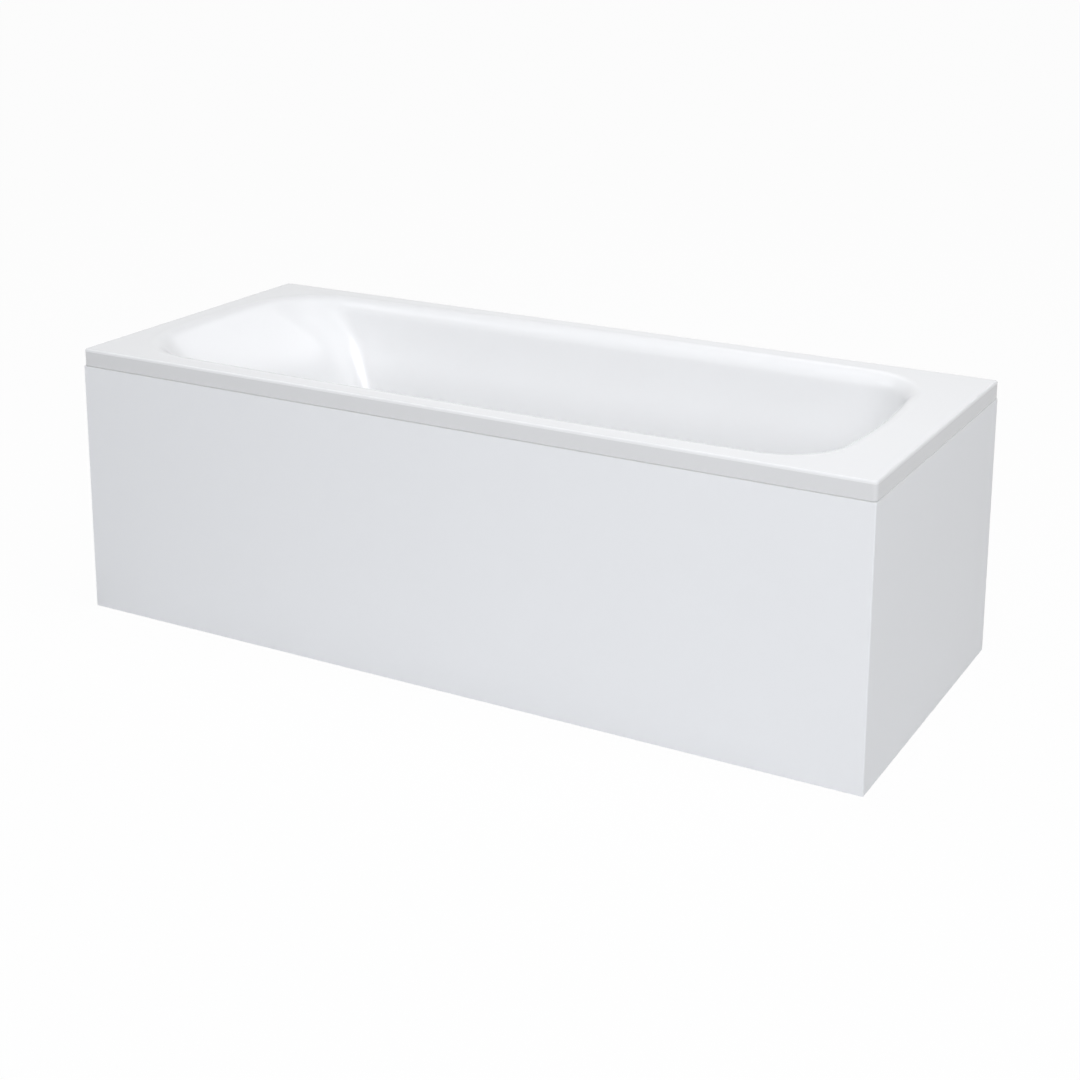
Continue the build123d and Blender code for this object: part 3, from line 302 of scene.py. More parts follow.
nutPlastic = moulded("nutPlastic", (0.66, 0.67, 0.68), (0.72, 0.725, 0.73), (0.32, 0.44),
                     (450.0, 0.1, 0.0002), scale=14.0)
cableSheath = moulded("cableSheath", (0.05, 0.052, 0.056), (0.075, 0.077, 0.08), (0.4, 0.52),
                      (600.0, 0.12, 0.0002), scale=20.0)
padPlastic = moulded("padPlastic", (0.035, 0.036, 0.038), (0.06, 0.06, 0.064), (0.45, 0.6),
                     (500.0, 0.15, 0.0002), scale=25.0)


def woodMaterial(name, group, bumpStrength, bumpDistance, gloss, **values):
    material, tree, shader = blankMaterial(name)
    wood = placeGroup(tree, group, **values)
    tree.links.new(wood.outputs["Color"], shader.inputs["Base Color"])
    bump = put(tree, "Bump", {"Height": wood.outputs["Height"]}, Strength=bumpStrength,
               Distance=bumpDistance)
    tree.links.new(bump.outputs[0], shader.inputs["Normal"])
    shader.inputs["Roughness"].default_value = gloss
    return material


def zincMaterial():
    material, tree, shader = blankMaterial("zincSteel")
    zinc = placeGroup(tree, spangle)
    surface = placeGroup(tree, relief, Scale=320.0, Strength=0.08, Distance=0.0002)
    tree.links.new(zinc.outputs["Color"], shader.inputs["Base Color"])
    tree.links.new(zinc.outputs["Roughness"], shader.inputs["Roughness"])
    tree.links.new(surface.outputs["Normal"], shader.inputs["Normal"])
    shader.inputs["Metallic"].default_value = 0.9
    return material


flakeBoard = woodMaterial("flakeBoard", flakes, 0.35, 0.0006, 0.75, Scale=270.0, Stretch=(0.7, 1.5, 1.2))
battenAlongX = woodMaterial("battenAlongX", timber, 0.3, 0.0004, 0.68, Scale=38.0,
                            Stretch=(0.08, 1.0, 1.0))
battenAlongY = woodMaterial("battenAlongY", timber, 0.3, 0.0004, 0.68, Scale=38.0,
                            Stretch=(1.0, 0.08, 1.0))
zincSteel = zincMaterial()

finishes = {
    "base_board": flakeBoard, "panel_board_front": flakeBoard, "panel_board_end": flakeBoard,
    "batten_front": battenAlongX, "batten_back": battenAlongX,
    "batten_head": battenAlongY, "batten_foot": battenAlongY,
    "corner_panel": panelAcrylic,
    "panel_clips": zincSteel, "floor_angles": zincSteel, "wall_hooks_back": zincSteel,
    "wall_hooks_head": zincSteel, "cross_rail_head": zincSteel, "cross_rail_foot": zincSteel,
    "foot_nuts": zincSteel,
    "clip_screws": screwSteel, "angle_screws": screwSteel, "rail_screws": screwSteel,
    "knob_shaft": screwSteel,
    "waste_flange": chrome, "waste_grid": chrome, "plug": chrome, "overflow_rosette": chrome,
    "overflow_knob": chrome,
    "upper_seal": sealRubber, "lower_seal": sealRubber, "plug_seal": sealRubber,
    "overflow_gasket": sealRubber,
    "waste_body": whitePlastic, "overflow_body": whitePlastic, "trap_body": whitePlastic,
    "trap_cap": nutPlastic, "trap_nut": nutPlastic, "outlet_nut": nutPlastic,
    "outlet_pipe": whitePlastic, "overflow_pipe": greyPlastic, "cable_crank": greyPlastic,
    "plug_lifter": greyPlastic, "bowden_cable": cableSheath,
}
for name, node in nodes.items():
    finish = finishes.get(name)
    if name.startswith("foot_stud"):
        finish = zincSteel
    if name.startswith("foot_pad"):
        finish = padPlastic
    if finish:
        for place in node.material_slots:
            place.material = finish
print("finishes made and laid on", len(finishes), "nodes")

# Bath shell
shell = {
    "length": 1700.0, "width": 700.0, "height": 562.0, "wall": 5.0, "apron": 35.0,
    "rimCorner": 8.0, "rimEdge": 4.0,
    "depth": 402.0, "sideBow": 1.3, "endBow": 7.5,
    "headProfile": [(0, 0), (57.3, 0), (199.0, 105.0), (350.3, 402.0), (420, 402.0)],
    "headRounds": [60.0, 150.0, 40.0],
    "footProfile": [(0, 0), (114.35, 0), (199.8, 402.0), (260, 402.0)],
    "sideProfile": [(0, 0), (66.43, 0), (122.93, 402.0), (180, 402.0)],
    "rounds": [35.0, 40.0],
    "headCorner": [(0, 142), (50, 108), (105, 79), (200, 69), (402, 62)],
    "footCorner": [(0, 115.6), (402, 62)],
    "drain": (515.0, 0.0), "seat": 42.0, "seatDepth": 2.0, "hole": 24.5, "seatRing": 2.0,
    "seatEdge": [(0.6, 0), (0.15, 0.2), (0, 0.7), (0, 2.0)],
    "overflowHole": 23.0, "lip": 1.5, "deckEdge": 1.0, "shadeAngle": 35.0, "cutLength": 50.0,
}
arcSteps = {"end": 24, "corner": 32, "side": 60, "rimCorner": 8}
levelSteps = {"bend": 60, "roll": 15, "floorRound": 13, "rimEdge": 6}
levels = {"wall": [36, 44, 53, 63, 74, 86, 99, 113, 128, 145, 165, 190, 220, 250, 280, 310, 335, 353],
          "deck": (0, 0.3, 0.65, 1), "floor": (0.02, 0.3, 0.62, 1), "apron": (0, 1.2, 12)}


def roundedProfile(corners, rounds):
    # A bent line with each inner corner rounded: places inwards and depths, finely spaced
    points = [Vector(corners[0])]
    for before, corner, after, radius in zip(corners, corners[1:], corners[2:], rounds):
        before, corner, after = Vector(before), Vector(corner), Vector(after)
        arrive = (before - corner).normalized()
        leave = (after - corner).normalized()
        half = arrive.angle(leave) / 2
        reach = radius / tan(half)
        centre = corner + (arrive + leave).normalized() * radius / sin(half)
        first = corner + arrive * reach - centre
        last = corner + leave * reach - centre
        turn = first.angle_signed(last)
        for step in range(levelSteps["bend"] + 1):
            points.append(centre + Matrix.Rotation(-turn * step / levelSteps["bend"], 2) @ first)
    points.append(Vector(corners[-1]))
    return np.array([tuple(point) for point in points])


def inwardAt(profile, depth):
    return float(np.interp(depth, profile[:, 1], profile[:, 0]))


def smoothTable(table, depth):
    # A smooth line through a few given values
    xs = np.array([row[0] for row in table], float)
    ys = np.array([row[1] for row in table], float)
    slopes = np.gradient(ys, xs)
    spot = min(max(int(np.searchsorted(xs, depth)) - 1, 0), len(xs) - 2)
    width = xs[spot + 1] - xs[spot]
    t = (depth - xs[spot]) / width
    return float((2 * t ** 3 - 3 * t ** 2 + 1) * ys[spot]
                 + (t ** 3 - 2 * t ** 2 + t) * width * slopes[spot]
                 + (3 * t ** 2 - 2 * t ** 3) * ys[spot + 1]
                 + (t ** 3 - t ** 2) * width * slopes[spot + 1])


def openingRing(headX, footX, halfWidth, headRadius, footRadius):
    # Eight arcs that meet tangentially, counter-clockwise from the foot end's bow
    side, end = radians(shell["sideBow"]), radians(shell["endBow"])
    lean = tan(end / 2)
    cornerSum = footRadius + headRadius
    straight = footX - headX - cornerSum * (1 - sin(side))
    spread = lean * (2 * halfWidth - cornerSum * cos(side))
    sideRadius = (straight - spread) / (2 * sin(side) - 2 * lean * (1 - cos(side)))
    footY = halfWidth - sideRadius * (1 - cos(side)) - footRadius * cos(side)
    headY = halfWidth - sideRadius * (1 - cos(side)) - headRadius * cos(side)
    sideX = footX - footRadius - footY * lean - (sideRadius - footRadius) * sin(side)
    footCx = sideX + (sideRadius - footRadius) * sin(side)
    headCx = sideX - (sideRadius - headRadius) * sin(side)
    turn = pi / 2 - side - end
    arcs = [
        (footCx - footY / tan(end), 0, footY / sin(end) + footRadius, -end, 2 * end, "end"),
        (footCx, footY, footRadius, end, turn, "corner"),
        (sideX, halfWidth - sideRadius, sideRadius, pi / 2 - side, 2 * side, "side"),
        (headCx, headY, headRadius, pi / 2 + side, turn, "corner"),
        (headCx + headY / tan(end), 0, headY / sin(end) + headRadius, pi - end, 2 * end, "end"),
        (headCx, -headY, headRadius, pi + end, turn, "corner"),
        (sideX, sideRadius - halfWidth, sideRadius, 1.5 * pi - side, 2 * side, "side"),
        (footCx, -footY, footRadius, 1.5 * pi + side, turn, "corner"),
    ]
    ring = []
    for x, y, radius, start, sweep, kind in arcs:
        angles = start + sweep * np.arange(arcSteps[kind]) / arcSteps[kind]
        ring.append(np.stack([x + radius * np.cos(angles), y + radius * np.sin(angles)], 1))
    return np.concatenate(ring)


def rimRing(inset, radius, guide):
    # The rim's rounded rectangle with as many points, spaced as the opening's are
    halfX, halfY = shell["length"] / 2 - inset, shell["width"] / 2 - inset
    radius = max(radius, 0.05)
    bend = arcSteps["rimCorner"]
    run = (arcSteps["corner"] - bend) // 2
    lengths = np.linalg.norm(np.roll(guide, -1, 0) - guide, axis=1)
    lengths = np.roll(lengths, run)          # now starts where the foot edge starts
    corners = [(halfX, halfY, 0), (-halfX, halfY, 1), (-halfX, -halfY, 2), (halfX, -halfY, 3)]
    counts = [arcSteps["end"] + 2 * run, arcSteps["side"] + 2 * run] * 2
    points, spot = [], 0
    previous = Vector((halfX, -halfY + radius))
    for (x, y, quarter), count in zip(corners, counts):
        centre = Vector((x - radius * np.sign(x), y - radius * np.sign(y)))
        first = centre + Vector((cos(quarter * pi / 2), sin(quarter * pi / 2))) * radius
        share = np.concatenate([[0], np.cumsum(lengths[spot:spot + count])])
        for step in range(count):
            points.append(previous.lerp(first, share[step] / share[-1]))
        for step in range(bend):
            angle = (quarter + step / bend) * pi / 2
            points.append(centre + Vector((cos(angle), sin(angle))) * radius)
        previous = centre + Vector((cos((quarter + 1) * pi / 2), sin((quarter + 1) * pi / 2))) * radius
        spot += count + bend
    ring = np.array([tuple(point) for point in points])
    return np.roll(ring, -run, 0)


def atLevel(ring, level):
    return np.column_stack([ring, np.full(len(ring), level)])


def ringNormals(rings):
    # Normals of a grid of rings, from the steps along and across it
    across = np.gradient(rings, axis=0)
    along = np.roll(rings, -1, 1) - np.roll(rings, 1, 1)
    normals = np.cross(along, across)
    return normals / np.maximum(np.linalg.norm(normals, axis=2, keepdims=True), 1e-9)


def shellRings():
    height, depth, wall = shell["height"], shell["depth"], shell["wall"]
    head = roundedProfile(shell["headProfile"], shell["headRounds"])
    foot = roundedProfile(shell["footProfile"], shell["rounds"])
    side = roundedProfile(shell["sideProfile"], shell["rounds"])
    rollRadius, floorRound = shell["rounds"]
    lean = (shell["sideProfile"][2][0] - shell["sideProfile"][1][0]) / depth
    steep = np.degrees(np.arctan(1 / lean))
    rollAngles = np.radians(np.linspace(0, steep, levelSteps["roll"]))
    floorAngles = np.radians(np.linspace(steep, 0, levelSteps["floorRound"]))
    rollDepths = rollRadius * (1 - np.cos(rollAngles))
    floorDepths = depth - floorRound * (1 - np.cos(floorAngles))

    def ringAt(d, grow=0.0):
        spread = shell["sideProfile"][1][0] + d * lean - inwardAt(side, d) + grow
        return openingRing(-shell["length"] / 2 + inwardAt(head, d) - grow,
                           shell["length"] / 2 - inwardAt(foot, d) + grow,
                           shell["width"] / 2 - inwardAt(side, d) + grow,
                           smoothTable(shell["headCorner"], d) + spread,
                           smoothTable(shell["footCorner"], d) + spread)

    # At no depth and at the full depth the profiles run level, so their own ends are used
    tiny = 1e-4
    opening = [atLevel(ringAt(max(d, tiny)), height - d) for d in rollDepths]
    hollow = [atLevel(ringAt(d), height - d) for d in levels["wall"]]
    bottom = [atLevel(ringAt(min(d, depth - tiny)), height - d) for d in floorDepths]
    guide = opening[0][:, :2]
    lip = ringAt(tiny, shell["lip"])
    deckEdge = shell["rimEdge"] + shell["deckEdge"]
    rimInner = rimRing(deckEdge, shell["rimCorner"] - deckEdge, guide)
    deck = [atLevel(rimInner * (1 - t) + lip * t, height) for t in levels["deck"]]

    drain = np.array(shell["drain"])
    lastRing = bottom[-1][:, :2]
    away = lastRing - drain
    reach = np.linalg.norm(away, axis=1, keepdims=True)
    heading = away / reach

    def circle(radius, level):
        return atLevel(drain + heading * radius, level)

    floorLevel = height - depth
    seat, hole = shell["seat"], shell["hole"]
    floor = [atLevel(drain + heading * (reach * (1 - t) + (seat + shell["seatRing"]) * t), floorLevel)
             for t in levels["floor"]]
    seatTop = [circle(seat + aside, floorLevel - down) for aside, down in shell["seatEdge"]]
    throat = [circle(hole, floorLevel - shell["seatDepth"])]

    upper = np.array(deck + opening + hollow + bottom + floor)
    under = upper - ringNormals(upper) * wall
    under[:, :, 2] = np.where(upper[:, :, 2] > height - 0.01, height - wall, under[:, :, 2])

    edge = shell["rimEdge"]
    apron = []
    apronFoot = height - shell["apron"]
    face = rimRing(0, shell["rimCorner"], guide)
    for level in [apronFoot + rise for rise in levels["apron"]] + [height - edge - 2]:
        apron.append(atLevel(face, level))
    for step in range(levelSteps["rimEdge"] + 1):
        angle = step / levelSteps["rimEdge"] * pi / 2
        inset = edge * (1 - cos(angle))
        apron.append(atLevel(rimRing(inset, shell["rimCorner"] - inset, guide),
                             height - edge + edge * sin(angle)))
    innerCorner = shell["rimCorner"] - wall
    skirt = [atLevel(rimRing(wall + 1.0, innerCorner - 1.0, guide), height - wall),
             atLevel(rimRing(wall, innerCorner, guide), height - wall - 1.0),
             atLevel(rimRing(wall, innerCorner, guide), apronFoot + 0.01)]
    gloss = apron + list(upper) + seatTop + throat
    matt = [circle(hole, floorLevel - wall), circle(seat, floorLevel - wall)] + list(under[::-1]) + skirt
    return gloss, matt


def meshFromRings(name, rings, materials, firstMatt):
    count = len(rings[0])
    places = np.concatenate(rings)
    mesh = bpy.data.meshes.new(name)
    faces, kinds = [], []
    for row in range(len(rings)):
        after = (row + 1) % len(rings)
        for spot in range(count):
            turn = (spot + 1) % count
            faces.append((row * count + spot, row * count + turn, after * count + turn,
                          after * count + spot))
            kinds.append(0 if row < firstMatt else 1)
    mesh.from_pydata([tuple(place * mm) for place in places], [], faces)
    for material in materials:
        mesh.materials.append(material)
    mesh.polygons.foreach_set("material_index", kinds)
    mesh.update()
    return mesh


def tidyMesh(mesh):
    box = bmesh.new()
    box.from_mesh(mesh)
    bmesh.ops.remove_doubles(box, verts=box.verts, dist=2e-6)
    bmesh.ops.recalc_face_normals(box, faces=box.faces)
    box.to_mesh(mesh)
    box.free()
    mesh.shade_smooth()
    mesh.set_sharp_from_angle(angle=radians(shell["shadeAngle"]))


def newObject(name, mesh):
    piece = bpy.data.objects.new(name, mesh)
    scene.collection.objects.link(piece)
    return piece


def cutHole(piece, origin, axis, radius, length):
    # Cuts a round hole with a short-lived tool
    tool = bmesh.new()
    bmesh.ops.create_cone(tool, segments=48, radius1=radius, radius2=radius, depth=length,
                          cap_ends=True)
    toolMesh = bpy.data.meshes.new("holeTool")
    tool.to_mesh(toolMesh)
    tool.free()
    cutter = newObject("holeTool", toolMesh)
    turn = Vector(axis).to_track_quat("Z", "Y").to_matrix().to_4x4()
    toolMesh.transform(Matrix.Translation(Vector(origin)) @ turn)
    change = piece.modifiers.new("hole", "BOOLEAN")
    change.object = cutter
    change.operation = "DIFFERENCE"
    change.solver = "EXACT"
    bpy.context.view_layer.update()
    result = bpy.data.meshes.new_from_object(piece.evaluated_get(bpy.context.evaluated_depsgraph_get()))
    piece.modifiers.clear()
    old = piece.data
    piece.data = result
    result.name = old.name
    bpy.data.meshes.remove(old)
    bpy.data.objects.remove(cutter)
    bpy.data.meshes.remove(toolMesh)


gloss, matt = shellRings()
shellMesh = meshFromRings("bathShellSkin", gloss + matt, [bathAcrylic, glassBacking], len(gloss) - 1)
bathShell = newObject("bathShellSkin", shellMesh)
tidyMesh(shellMesh)
overflow = {"origin": (0.7154647, 0, 0.467), "lean": 12.0}
overflowAxis = Vector((-cos(radians(overflow["lean"])), 0, sin(radians(overflow["lean"]))))
cutHole(bathShell, overflow["origin"], overflowAxis, shell["overflowHole"] * mm,
        shell["cutLength"] * mm)
bathShell.data.set_sharp_from_angle(angle=radians(shell["shadeAngle"]))
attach(bathShell, "bath")
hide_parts("bath_shell")
print("shell:", len(bathShell.data.vertices), "vertices")

# Repeated forms, grown with Geometry Nodes
threadShape = {"root": 0.35, "rootHalf": 0.47, "crestHalf": 0.07, "studSteps": 28, "screwSteps": 16}
screwShape = {"slotSpan": 1.15, "slotWidth": 0.26, "slotDepth": 1.2, "core": 0.72, "ridge": 0.27,
              "threadEnd": 0.93, "point": 0.25}
ferruleShape = {"collarTop": 0.22, "crimpStart": 0.55, "crimpEnd": 0.8, "crimp": 1.07}
webTip = 0.45
formShadeAngle = 32.0


def startForm(name, *labels):
    # A form whose inputs are lengths, except a count and the finish
    form = bpy.data.node_groups.new(name, "GeometryNodeTree")
    form.is_modifier = True
    kinds = {"Geometry": "Geometry", "Count": "Int", "Material": "Material"}
    for label in ("Geometry",) + labels + ("Material",):
        kind = "NodeSocket" + kinds.get(label, "Float")
        form.interface.new_socket(name=label, in_out="INPUT", socket_type=kind)
    form.interface.new_socket(name="Geometry", in_out="OUTPUT", socket_type="NodeSocketGeometry")
    return form, form.nodes.new("NodeGroupInput").outputs


def sums(form, operation, first, second):
    # One step of arithmetic between sockets or plain numbers
    return step(form, "ShaderNodeMath", {0: first, 1: second}, operation=operation).outputs[0]


def spot(form, x, y, z):
    return step(form, "ShaderNodeCombineXYZ", {0: x, 1: y, 2: z}).outputs[0]


def moved(form, shape, move=(0, 0, 0), turn=(0, 0, 0), scale=(1, 1, 1)):
    return step(form, "GeometryNodeTransform", {
        "Geometry": shape, "Translation": move, "Rotation": turn, "Scale": scale}).outputs[0]


def copied(form, points, shape, turn):
    return step(form, "GeometryNodeInstanceOnPoints", {
        "Points": points, "Instance": shape, "Rotation": turn}).outputs[0]


def finishForm(form, given, shape):
    # One copy at each point of the base mesh, turned by its own angles
    turn = step(form, "GeometryNodeInputNamedAttribute", {"Name": "turn"}, data_type="FLOAT_VECTOR")
    copies = copied(form, given["Geometry"], shape, turn.outputs[0])
    real = step(form, "GeometryNodeRealizeInstances", {0: copies})
    smooth = step(form, "GeometryNodeSetShadeSmooth", {0: real.outputs[0]})
    painted = step(form, "GeometryNodeSetMaterial", {
        0: smooth.outputs[0], "Material": given["Material"]})
    step(form, "NodeGroupOutput", {0: painted.outputs[0]})
    return form


def joined(form, *shapes):
    node = form.nodes.new("GeometryNodeJoinGeometry")
    for shape in reversed(shapes):
        form.links.new(shape, node.inputs[0])
    return node.outputs[0]


def grownPiece(name, form, settings, places=((0, 0, 0),), turns=None):
    # Runs a form on a few points and keeps the mesh that comes out
    base = bpy.data.meshes.new(name + "Points")
    base.from_pydata([tuple(place) for place in places], [], [])
    if turns:
        marks = base.attributes.new("turn", "FLOAT_VECTOR", "POINT")
        for mark, turn in zip(marks.data, turns):
            mark.vector = turn
    piece = newObject(name, base)
    change = piece.modifiers.new("form", "NODES")
    change.node_group = form
    for socket in form.interface.items_tree:
        if socket.item_type == "SOCKET" and socket.in_out == "INPUT" and socket.name in settings:
            change[socket.identifier] = settings[socket.name]
    bpy.context.view_layer.update()
    shape = piece.evaluated_get(bpy.context.evaluated_depsgraph_get())
    result = bpy.data.meshes.new_from_object(shape)
    piece.modifiers.clear()
    piece.data = result
    result.name = name
    bpy.data.meshes.remove(base)
    result.set_sharp_from_angle(angle=radians(formShadeAngle))
    return piece


def aroundAxis(form, shape, count):
    # Copies of a shape turned evenly about the z axis
    row = step(form, "GeometryNodeMeshLine", {"Count": count, "Offset": (0, 0, 0)})
    index = step(form, "GeometryNodeInputIndex")
    part = sums(form, "DIVIDE", index.outputs[0], count)
    angle = sums(form, "MULTIPLY", part, 2 * pi)
    return copied(form, row.outputs[0], shape, spot(form, 0, 0, angle))


def tube(form, radius, bottom, top, sides=32):
    # A closed cylinder between two levels
    height = sums(form, "SUBTRACT", top, bottom)
    middle = sums(form, "DIVIDE", sums(form, "ADD", top, bottom), 2.0)
    column = step(form, "GeometryNodeMeshCylinder", {"Radius": radius, "Depth": height}, Vertices=sides)
    return moved(form, column.outputs[0], spot(form, 0, 0, middle))


def helix(form, startRadius, endRadius, bottom, top, pitch, depth, steps):
    # A screw thread's ridge: a flat-topped V swept up a spiral
    height = sums(form, "SUBTRACT", top, bottom)
    spiral = step(form, "GeometryNodeCurveSpiral", {
        "Rotations": sums(form, "DIVIDE", height, pitch), "Start Radius": startRadius,
        "End Radius": endRadius, "Height": height}, Resolution=steps)
    upright = step(form, "GeometryNodeSetCurveNormal", {0: spiral.outputs[0]}, mode="Z_UP")
    lifted = moved(form, upright.outputs[0], spot(form, 0, 0, bottom))
    section = step(form, "GeometryNodeCurvePrimitiveQuadrilateral", mode="POINTS")
    inner = sums(form, "MULTIPLY", depth, -threadShape["root"])
    root = sums(form, "MULTIPLY", pitch, threadShape["rootHalf"])
    crest = sums(form, "MULTIPLY", pitch, threadShape["crestHalf"])
    minusRoot, minusCrest = sums(form, "MULTIPLY", root, -1.0), sums(form, "MULTIPLY", crest, -1.0)
    corners = ((inner, minusRoot), (depth, minusCrest), (depth, crest), (inner, root))
    for label, (x, y) in zip(("Point 1", "Point 2", "Point 3", "Point 4"), corners):
        form.links.new(spot(form, x, y, 0.0), section.inputs[label])
    return step(form, "GeometryNodeCurveToMesh", {
        "Curve": lifted, "Profile Curve": section.outputs[0], "Fill Caps": True}).outputs[0]


def studForm():
    # A smooth pin, a hexagon to turn it by, and the thread above
    form, given = startForm("threadedStud", "Bottom", "Collar Bottom", "Collar Top", "Collar Radius",
                            "Top", "Radius", "Pitch", "Depth")
    core = sums(form, "SUBTRACT", given["Radius"], given["Depth"])
    lastTurn = sums(form, "SUBTRACT", given["Top"], given["Pitch"])
    thread = helix(form, core, core, given["Collar Top"], lastTurn, given["Pitch"], given["Depth"],
                   threadShape["studSteps"])
    whole = joined(
        form, tube(form, given["Radius"], given["Bottom"], given["Collar Bottom"]),
        tube(form, given["Collar Radius"], given["Collar Bottom"], given["Collar Top"], 6),
        tube(form, core, given["Collar Top"], given["Top"]), thread)
    return finishForm(form, given, whole)


def screwForm():
    # A domed head with a cross recess under a threaded shank that runs up to a point
    form, given = startForm("crossHeadScrew", "Head Radius", "Head Height", "Shank Radius",
                            "Shank Length", "Pitch")
    ball = step(form, "GeometryNodeMeshUVSphere", Segments=32, Rings=18, Radius=1.0)
    size = spot(form, given["Head Radius"], given["Head Radius"], given["Head Height"])
    dome = moved(form, ball.outputs[0], scale=size)
    width = sums(form, "MULTIPLY", given["Head Radius"], 3.0)
    block = step(form, "GeometryNodeMeshCube", {"Size": spot(form, width, width, width)})
    above = moved(form, block.outputs[0], spot(form, 0, 0, sums(form, "MULTIPLY", width, 0.5)))
    span = sums(form, "MULTIPLY", given["Head Radius"], screwShape["slotSpan"])
    slot = sums(form, "MULTIPLY", given["Head Radius"], screwShape["slotWidth"])
    depth = sums(form, "MULTIPLY", given["Head Height"], screwShape["slotDepth"])
    floorLevel = spot(form, 0, 0, sums(form, "MULTIPLY", given["Head Height"], -1.0))
    solid, cuts = dome, [above]
    for bar in (spot(form, span, slot, depth), spot(form, slot, span, depth)):
        block = step(form, "GeometryNodeMeshCube", {"Size": bar})
        cuts.append(moved(form, block.outputs[0], floorLevel))
    for cut in cuts:
        solid = step(form, "GeometryNodeMeshBoolean", {0: solid, 1: cut}, operation="DIFFERENCE",
                     solver="EXACT").outputs[0]
    core = sums(form, "MULTIPLY", given["Shank Radius"], screwShape["core"])
    ridgeDepth = sums(form, "MULTIPLY", given["Shank Radius"], screwShape["ridge"])
    ridgeTop = sums(form, "MULTIPLY", given["Shank Length"], screwShape["threadEnd"])
    point = sums(form, "MULTIPLY", core, screwShape["point"])
    taper = step(form, "GeometryNodeMeshCone", {"Radius Bottom": core, "Radius Top": point,
                                                "Depth": given["Shank Length"]}, Vertices=16)
    thread = helix(form, core, point, sums(form, "MULTIPLY", given["Pitch"], 0.5), ridgeTop,
                   given["Pitch"], ridgeDepth, threadShape["screwSteps"])
    whole = joined(form, solid, taper.outputs[0], thread)
    return finishForm(form, given, whole)


def ribForm():
    # Rounded grip ribs round a nut
    form, given = startForm("gripRibs", "Count", "Radius", "Bottom", "Top", "Rib Radius")
    rib = moved(form, tube(form, given["Rib Radius"], given["Bottom"], given["Top"], 12),
                spot(form, given["Radius"], 0.0, 0.0))
    return finishForm(form, given, aroundAxis(form, rib, given["Count"]))


def webForm():
    # Low webs that stiffen a pad between its boss and its edge
    form, given = startForm("padWebs", "Count", "Inner", "Outer", "Bottom", "Top", "Thickness")
    length = sums(form, "SUBTRACT", given["Outer"], given["Inner"])
    height = sums(form, "SUBTRACT", given["Top"], given["Bottom"])
    wedge = step(form, "GeometryNodeMeshCone", {
        "Depth": height, "Radius Bottom": 1.0, "Radius Top": webTip}, Vertices=4)
    squared = moved(form, wedge.outputs[0], turn=(0, 0, pi / 4))
    flat = moved(form, squared, scale=spot(form, sums(form, "MULTIPLY", length, sqrt(0.5)),
                                           sums(form, "MULTIPLY", given["Thickness"], sqrt(0.5)), 1.0))
    middle = sums(form, "DIVIDE", sums(form, "ADD", given["Outer"], given["Inner"]), 2.0)
    placed = moved(form, flat, spot(form, middle, 0.0, given["Bottom"]))
    return finishForm(form, given, aroundAxis(form, placed, given["Count"]))


def ferruleForm():
    # A crimped sleeve with a collar, on a cable's end
    form, given = startForm("cableFerrule", "Radius", "Length", "Collar")
    collarTop = sums(form, "MULTIPLY", given["Length"], ferruleShape["collarTop"])
    crimpStart = sums(form, "MULTIPLY", given["Length"], ferruleShape["crimpStart"])
    crimpEnd = sums(form, "MULTIPLY", given["Length"], ferruleShape["crimpEnd"])
    crimp = sums(form, "MULTIPLY", given["Radius"], ferruleShape["crimp"])
    whole = joined(form, tube(form, given["Radius"], 0.0, given["Length"], 28),
                   tube(form, given["Collar"], 0.0, collarTop, 28),
                   tube(form, crimp, crimpStart, crimpEnd, 6))
    return finishForm(form, given, whole)


# Sizes in mm, under the names that the forms' inputs have
screws = {
    "clip_screws": {"Head Radius": 4.0, "Head Height": 2.2, "Shank Radius": 2.0, "Shank Length": 12.0,
                    "Pitch": 1.6},
    "angle_screws": {"Head Radius": 4.2, "Head Height": 2.4, "Shank Radius": 2.0, "Shank Length": 10.0,
                     "Pitch": 1.6},
    "rail_screws": {"Head Radius": 5.0, "Head Height": 3.0, "Shank Radius": 2.5, "Shank Length": 16.0,
                    "Pitch": 2.0},
}
clipRows = {"level": 539.0, "front": -329.0, "end": 829.0, "frontSpacing": 420, "endSpacing": 340}
railRows = {"level": 137.0, "aside": 10, "spacing": 140}
angleRows = {"level": 24.0, "front": -331.5, "end": 831.5, "aside": 12, "spacing": 560,
             "frontMiddle": -2.0, "endMiddle": 2.0}
railXs, studYs = (-330.0, 400.0), (-270.0, 270.0)
outward = {"up": (0, 0, 0), "towardsFront": (pi / 2, 0, 0), "towardsFoot": (0, pi / 2, 0),
           "towardsBack": (-pi / 2, 0, 0)}


def sized(size, material):
    # A form's inputs in metres, with its finish
    return {**{key: value * mm for key, value in size.items()}, "Material": material}


def rowOf(count, spacing, middle=0.0):
    return [middle + (index - (count - 1) / 2) * spacing for index in range(count)]


def screwPlaces():
    # Where each group of screws starts, in mm, and which way its screws point
    level = clipRows["level"]
    clips = [(x, clipRows["front"], level) for x in rowOf(4, clipRows["frontSpacing"])]
    clips += [(clipRows["end"], y, level) for y in rowOf(2, clipRows["endSpacing"])]
    rails = [(x + side * railRows["aside"], y, railRows["level"]) for x in railXs for side in (-1, 1)
             for y in rowOf(3, railRows["spacing"])]
    level, aside = angleRows["level"], angleRows["aside"]
    middles = rowOf(3, angleRows["spacing"], angleRows["frontMiddle"])
    front = [(x + side * aside, angleRows["front"], level) for x in middles for side in (-1, 1)]
    end = [(angleRows["end"], angleRows["endMiddle"] + side * aside, level) for side in (-1, 1)]
    return {"clip_screws": (clips, ["up"] * len(clips)), "rail_screws": (rails, ["up"] * len(rails)),
            "angle_screws": (front + end, ["towardsFront"] * len(front) + ["towardsFoot"] * len(end))}


